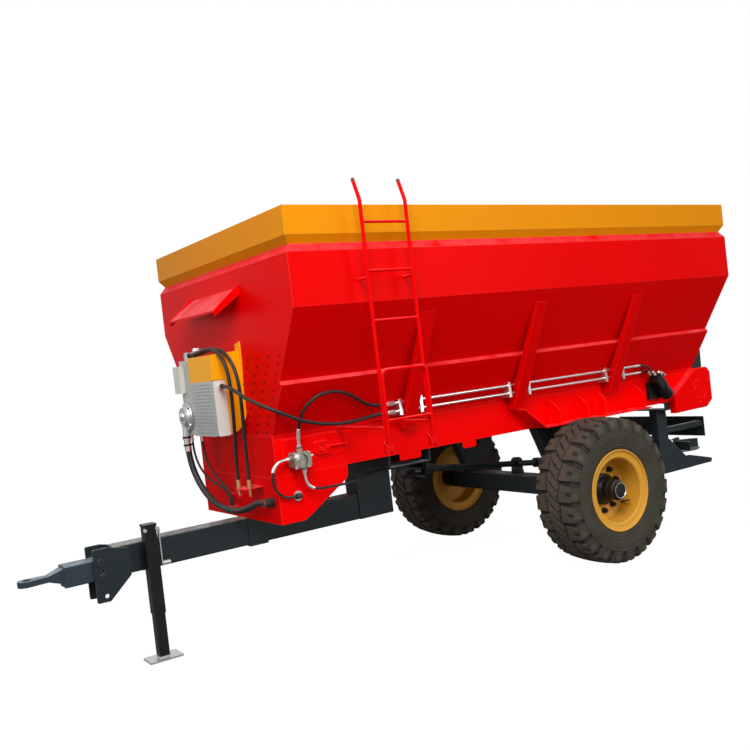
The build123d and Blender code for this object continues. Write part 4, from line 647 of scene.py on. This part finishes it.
turned_bits((
    ("pump_rim", "plated_steel", "aluminium", ((1.7455, pump_y, pump_z), (1.7505, pump_y, pump_z)),
     ((0.0, 0.097), (0.004, 0.095)), 48),
    ("pump_bell", "aluminium", "aluminium", ((1.7506, pump_y, pump_z), (1.7790, pump_y, pump_z)),
     ((0.0, 0.078), (0.012, 0.074), (0.020, 0.060), (0.028, 0.056)), 40),
    ("pump_boss", "plated_steel", "aluminium", ((1.7790, pump_y, pump_z), (1.7900, pump_y, pump_z)),
     ((0.0, 0.030), (0.008, 0.028), (0.011, 0.022)), 24),
    ("tank_filler_cap", "plated_steel", "grey_paint", ((1.700, -0.060, 1.948), (1.700, -0.060, 1.972)),
     ((0.0, 0.036), (0.010, 0.036), (0.0101, 0.032), (0.020, 0.032), (0.024, 0.026)), 24),
    ("tank_drain_plug", "plated_steel", "grey_paint", ((1.690, 0.060, 1.362), (1.690, 0.060, 1.350)),
     ((0.0, 0.012), (0.012, 0.012)), 6),
))
for number in range(screws):
    turn = 2 * math.pi * (number + 0.5) / screws
    screw_y, screw_z = pump_y + screw_circle * math.cos(turn), pump_z + screw_circle * math.sin(turn)
    screw_line = ((screw_foot, screw_y, screw_z), (screw_top, screw_y, screw_z))
    screw_steps = ((0.0, screw_radius), (screw_top - screw_foot, screw_radius))
    turned_bits(((f"pump_screw_{number}", "plated_steel", "aluminium", screw_line, screw_steps, 6),))


def plates(name, paint, corners):
    """A bracket of flat plates in one piece; each plate is given by two opposite corners."""
    shape = bmesh.new()
    for low, high in corners:
        centre = [(a + b) / 2 for a, b in zip(low, high)]
        spread = Matrix.Diagonal((*(b - a for a, b in zip(low, high)), 1))
        bmesh.ops.create_cube(shape, size=1.0, matrix=Matrix.Translation(centre) @ spread)
    bracket = bpy.data.objects.new(name, bpy.data.meshes.new(name))
    shape.to_mesh(bracket.data)
    shape.free()
    bracket.data.materials.append(paints[paint])
    fit(bracket, "root")


plates("panel_bracket", "cream_paint", (
    ((1.7290, -0.4020, 1.6630), (1.7640, -0.3700, 1.8570)),
    ((1.7290, -0.3700, 1.6630), (1.7635, -0.2880, 1.8565))))

# Valve on the left cheek: a sand-cast block with a turned knob, a cap, a curved handle, a plug at
# its rear, a black nut on top and four screws in its face.
finish("castings", (0.40, 0.38, 0.31), roughness=0.45, specular=0.5, metallic=0.6, patches=25.0, dark=0.45,
       dust_and_sheen=0.5, dust_height=1.4, ripple=0.6, ripple_scale=140)
coat(paints["castings"], "valve")
valve_face, screw_head, screw_radius = 0.698, 0.005, 0.006
handle_line = ((1.374, 0.700, 1.210), (1.356, 0.710, 1.192), (1.347, 0.712, 1.165), (1.350, 0.712, 1.138),
               (1.362, 0.710, 1.118), (1.378, 0.702, 1.106))
turned_bits((
    ("valve_knob", "plated_steel", "aluminium", ((1.428, valve_face, 1.186), (1.428, 0.722, 1.186)),
     ((0.0, 0.022), (0.008, 0.022), (0.0081, 0.016), (0.020, 0.016), (0.023, 0.012)), 20),
    ("valve_cap", "castings", "aluminium", ((1.402, valve_face, 1.132), (1.402, 0.712, 1.132)),
     ((0.0, 0.018), (0.012, 0.016)), 6),
    ("valve_plug", "plated_steel", "aluminium", ((1.322, 0.658, 1.180), (1.282, 0.658, 1.180)),
     ((0.0, 0.016), (0.014, 0.016), (0.0141, 0.010), (0.032, 0.010), (0.038, 0.005)), 12),
    ("valve_top_nut", "black_steel", "aluminium", ((1.3825, 0.658, 1.2392), (1.3825, 0.658, 1.246)),
     ((0.0, 0.022), (0.0065, 0.022)), 6),
    ("valve_handle", "castings", "aluminium", handle_line,
     ((0.0, 0.005), (0.020, 0.0075), (0.085, 0.0075), (0.110, 0.005)), 12),
))
turned_bits([
    (f"valve_screw_{x}_{z}", "plated_steel", "aluminium",
     ((x / 1000, valve_face, z / 1000), (x / 1000, valve_face + screw_head, z / 1000)),
     ((0.0, screw_radius), (screw_head, screw_radius)), 8)
    for x, z in ((1346, 1118), (1346, 1212), (1443, 1118), (1443, 1212))
])

# Pipes: a pair of zinc-plated steel tubes in clamps along the left side, from the couplings behind
# the ladder to the conveyor's motor.
coat(paints["plated_steel"], "pipes")

# Hoses: black rubber tubes on the left side and the front, each one spline from fitting to fitting,
# with the same points as its solid. The radius comes first, then the real length, in metres.
finish("hose_rubber", (0.013, 0.012, 0.012), roughness=0.42, specular=0.35, patches=20.0, dark=0.7, dust_and_sheen=0.25,
       dust_height=1.2, ripple=0.35, ripple_scale=420)
hose_routes = {
    "hose_lift": (0.011, 1.026, (
        (1.3825, 0.658, 1.239), (1.3825, 0.658, 1.330), (1.3775, 0.700, 1.420),
        (1.3575, 0.745, 1.500), (1.2875, 0.780, 1.560), (1.1975, 0.792, 1.582),
        (1.0875, 0.786, 1.570), (0.9775, 0.756, 1.520), (0.8775, 0.716, 1.466),
        (0.7725, 0.684, 1.437), (0.6825, 0.684, 1.437))),
    "hose_cooler": (0.012, 1.411, (
        (1.7115, 0.302, 1.692), (1.7115, 0.352, 1.692), (1.7075, 0.430, 1.676),
        (1.6935, 0.510, 1.636), (1.6615, 0.600, 1.584), (1.5975, 0.690, 1.530),
        (1.4975, 0.740, 1.472), (1.3875, 0.742, 1.418), (1.2675, 0.736, 1.384),
        (1.1475, 0.728, 1.364), (1.0375, 0.718, 1.356), (0.9175, 0.700, 1.362),
        (0.7925, 0.684, 1.377), (0.6825, 0.684, 1.377))),
    "hose_drive_top": (0.009, 0.256, (
        (-1.9025, 0.684, 1.437), (-1.9675, 0.684, 1.437), (-2.0325, 0.694, 1.423),
        (-2.0879, 0.702, 1.373), (-2.1214, 0.702, 1.336))),
    "hose_drive_foot": (0.009, 0.241, (
        (-1.9025, 0.684, 1.377), (-1.9505, 0.684, 1.377), (-1.9995, 0.676, 1.384),
        (-2.0465, 0.664, 1.391), (-2.0879, 0.654, 1.373), (-2.1214, 0.654, 1.336))),
    "hose_cheek": (0.009, 0.442, (
        (1.4665, 0.658, 1.180), (1.5195, 0.658, 1.180), (1.5635, 0.657, 1.157),
        (1.5875, 0.653, 1.113), (1.5915, 0.648, 1.060), (1.5775, 0.641, 1.008),
        (1.5435, 0.633, 0.962), (1.4915, 0.624, 0.928), (1.4245, 0.624, 0.928))),
    "hose_motor": (0.009, 1.604, (
        (1.3625, 0.658, 1.091), (1.3625, 0.658, 1.036), (1.3435, 0.657, 0.989),
        (1.3005, 0.655, 0.962), (1.2425, 0.653, 0.953), (1.1625, 0.650, 0.951),
        (1.0775, 0.640, 0.949), (0.9975, 0.612, 0.944), (0.9325, 0.562, 0.938),
        (0.8725, 0.505, 0.935), (0.8075, 0.450, 0.936), (0.7325, 0.400, 0.939),
        (0.6475, 0.356, 0.942), (0.5575, 0.322, 0.941), (0.4625, 0.292, 0.935),
        (0.3725, 0.266, 0.925), (0.2875, 0.246, 0.911), (0.2125, 0.228, 0.895),
        (0.1455, 0.204, 0.877), (0.0855, 0.170, 0.858), (0.0575, 0.122, 0.847),
        (0.0575, 0.072, 0.847))),
    "hose_return_a": (0.012, 1.379, (
        (1.6775, -0.175, 1.926), (1.6775, -0.070, 1.926), (1.6765, 0.040, 1.938),
        (1.6735, 0.150, 1.946), (1.6675, 0.255, 1.932), (1.6605, 0.345, 1.880),
        (1.6535, 0.406, 1.800), (1.6475, 0.430, 1.705), (1.6435, 0.430, 1.600),
        (1.6395, 0.418, 1.500), (1.6355, 0.402, 1.400), (1.6325, 0.390, 1.300),
        (1.6305, 0.382, 1.205), (1.6295, 0.378, 1.130), (1.6295, 0.378, 1.060))),
    "hose_return_b": (0.012, 1.357, (
        (1.7195, -0.175, 1.926), (1.7195, -0.080, 1.926), (1.7175, 0.020, 1.940),
        (1.7145, 0.120, 1.950), (1.7085, 0.215, 1.945), (1.6995, 0.300, 1.908),
        (1.6905, 0.352, 1.832), (1.6835, 0.372, 1.735), (1.6795, 0.370, 1.630),
        (1.6755, 0.356, 1.525), (1.6705, 0.336, 1.420), (1.6655, 0.312, 1.315),
        (1.6605, 0.288, 1.215), (1.6575, 0.272, 1.130), (1.6575, 0.272, 1.060))),
    "hose_suction": (0.022, 1.166, (
        (1.7555, -0.305, 1.380), (1.7555, -0.305, 1.275), (1.7505, -0.292, 1.165),
        (1.7375, -0.254, 1.060), (1.7175, -0.192, 0.965), (1.6955, -0.108, 0.895),
        (1.6735, -0.002, 0.852), (1.6535, 0.108, 0.836), (1.6335, 0.220, 0.842),
        (1.6095, 0.322, 0.870), (1.5835, 0.400, 0.905), (1.5835, 0.475, 0.905))),
    "hose_pump_a": (0.008, 0.643, (
        (1.6975, -0.350, 1.362), (1.6975, -0.350, 1.290), (1.6945, -0.343, 1.218),
        (1.6855, -0.322, 1.148), (1.6705, -0.284, 1.085), (1.6495, -0.234, 1.034),
        (1.6235, -0.178, 0.998), (1.5975, -0.128, 0.968), (1.5765, -0.102, 0.930),
        (1.5695, -0.093, 0.893), (1.5695, -0.093, 0.840))),
    "hose_pump_b": (0.008, 0.589, (
        (1.6575, -0.262, 1.362), (1.6575, -0.262, 1.290), (1.6555, -0.254, 1.218),
        (1.6485, -0.232, 1.150), (1.6355, -0.196, 1.088), (1.6185, -0.152, 1.034),
        (1.5985, -0.110, 0.986), (1.5805, -0.078, 0.938), (1.5685, -0.060, 0.893),
        (1.5685, -0.060, 0.840))),
}
# End fittings: for each end the distance along the hose and how far the metal stands out from the
# rubber, as steps; a crimped sleeve with a nut at the joint, a swept elbow, or a short black nut.
crimp = ((0.0, 0.004), (0.014, 0.004), (0.0141, 0.001), (0.018, 0.001), (0.0181, 0.0028), (0.050, 0.0028),
         (0.052, 0.0012))
long_crimp = ((0.0, 0.006), (0.022, 0.006), (0.0221, 0.0005), (0.060, 0.0005), (0.0601, 0.0035),
              (0.125, 0.0035), (0.128, 0.0012))
elbow = ((0.0, 0.005), (0.018, 0.005), (0.0181, 0.0006), (0.105, 0.0006), (0.1051, 0.0032), (0.150, 0.0032),
         (0.152, 0.001))
sleeve = ((0.0, 0.004), (0.020, 0.004), (0.0201, 0.0015), (0.035, 0.0015))
big_crimp = ((0.0, 0.003), (0.020, 0.003), (0.0201, 0.006), (0.046, 0.006), (0.0461, 0.002), (0.130, 0.002),
             (0.132, 0.001))
hose_ends = {
    "hose_lift": (long_crimp, crimp), "hose_cooler": (sleeve, crimp), "hose_drive_top": (crimp, crimp),
    "hose_drive_foot": (crimp, crimp), "hose_cheek": (elbow, None), "hose_motor": (elbow, crimp),
    "hose_return_a": (sleeve, None), "hose_return_b": (sleeve, None), "hose_suction": (big_crimp, None),
    "hose_pump_a": (crimp, None), "hose_pump_b": (crimp, None),
}
# Bands on the suction hose's crimp: where each starts and ends along it, and how far it stands out.
black_bands = {"hose_suction": ((0.022, 0.036), (0.078, 0.092))}
band_height = 0.0078


def on_hose(name, line, profile, black):
    """A turned fitting or band that follows its hose."""
    piece = bpy.data.objects.new(name, swept(name, line, profile))
    piece.data.materials.append(paints["black_steel" if black else "plated_steel"])
    fit(piece, "root")
    return piece


for node, (radius, length, route) in hose_routes.items():
    coat(paints["hose_rubber"], node)
    curve = bpy.data.curves.new(node + "_line", "CURVE")
    curve.dimensions = "3D"
    curve.resolution_u = 10
    curve.bevel_resolution = 4
    spline = curve.splines.new("NURBS")
    spline.points.add(len(route) - 1)
    for point, place in zip(spline.points, route):
        point.co = (*place, 1)
        point.radius = radius
    spline.order_u = 3
    spline.use_endpoint_u = True
    hose = bpy.data.objects.new(node + "_look", curve)
    bare_line = bpy.data.meshes.new_from_object(hose)
    line = [vertex.co.copy() for vertex in bare_line.vertices]
    bpy.data.meshes.remove(bare_line)
    curve.bevel_depth = 1.0
    curve.materials.append(paints["hose_rubber"])
    fit(hose, "root")
    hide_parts(node)
    start_steps, end_steps = hose_ends[node]
    for end, ordered, steps in (("start", line, start_steps), ("end", line[::-1], end_steps)):
        if steps:
            profile = [(distance, radius + out) for distance, out in steps]
            slot_name = "black_steel" if steps is sleeve else "plated_steel"
            on_hose(f"{node}_{end}_fitting", ordered, profile, steps is sleeve)
    for low, high in black_bands.get(node, ()):
        band = ((low, radius + band_height), (high, radius + band_height))
        on_hose(f"{node}_band_{round(1000 * low)}", line, band, True)

# Where hoses pass through the sheets: moulded black rubber elbows pushed over the stubs, and the
# galvanised washer behind the elbow in the left cheek.
turned_bits((
    # The suction elbows are black rubber, and their black also stands as painted shade for the dark hole and
    # the shadow above it where the hose goes in.
    ("suction_elbow_out", "hose_rubber", "hose_rubber", ((1.5385, 0.510, 0.905), (1.6110, 0.510, 0.905)),
     ((0.0, 0.034), (0.010, 0.034), (0.0101, 0.0290), (0.066, 0.0290), (0.072, 0.022)), 24),
    ("suction_elbow_in", "hose_rubber", "hose_rubber", ((1.5835, 0.4750, 0.905), (1.5835, 0.512, 0.905)),
     ((0.0, 0.0285), (0.037, 0.0285)), 24),
    ("cheek_washer", "galvanised", "red_paint", ((1.4005, 0.6031, 0.928), (1.4005, 0.6055, 0.928)),
     ((0.0, 0.0318), (0.0024, 0.0318)), 32),
    ("cheek_elbow_out", "hose_rubber", "hose_rubber", ((1.4005, 0.6056, 0.928), (1.4005, 0.6260, 0.928)),
     ((0.0, 0.0170), (0.0204, 0.0170)), 20),
    ("cheek_elbow_in", "hose_rubber", "hose_rubber", ((1.3835, 0.6240, 0.928), (1.4245, 0.6240, 0.928)),
     ((0.0, 0.012), (0.003, 0.0178), (0.041, 0.0178)), 20),
))

# Couplers at the foot of the two return hoses: yellow-plated bulkhead couplers, each a hexagon, a
# turned sleeve with a wider band and a thin tail, held in a red strip bent out from the front sheet.
finish("brass", (0.70, 0.48, 0.20), roughness=0.35, specular=0.5, metallic=0.9, patches=20.0, dark=0.7,
       ripple_scale=160)
coat(paints["plated_steel"], "couplers")
coupler_top, coupler_foot = 1.060, 0.949
coupler_steps = ((0.0, 0.0150), (0.020, 0.0150), (0.0201, 0.0110), (0.026, 0.0110), (0.0261, 0.0165),
                 (0.062, 0.0165), (0.0621, 0.0125), (0.070, 0.0125), (0.0701, 0.0100), (0.094, 0.0100),
                 (0.0941, 0.0062), (0.1110, 0.0062))
turned_bits([
    (name, "brass", "plated_steel", ((x, y, coupler_top), (x, y, coupler_foot)), coupler_steps, 18)
    for name, x, y in (("coupler_outer", 1.6295, 0.378), ("coupler_inner", 1.6575, 0.272))
])
plates("coupler_strip", "red_paint", (
    ((1.5385, 0.245, 1.000), (1.680, 0.405, 1.005)), ((1.5385, 0.245, 0.965), (1.5425, 0.405, 1.000))))
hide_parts("couplers")

# Ladder: bent steel tube with welded rungs, sprayed red; hands have worn the paint dark on the tips
# of its upper part, and its lower part folds up on two hinges.
coat(paints["red_paint"], "ladder_lower")
two_tone("ladder_upper", "red_paint", (0.16, 0.05, 0.05), 0.0, (2.855, 2.870), "Z")
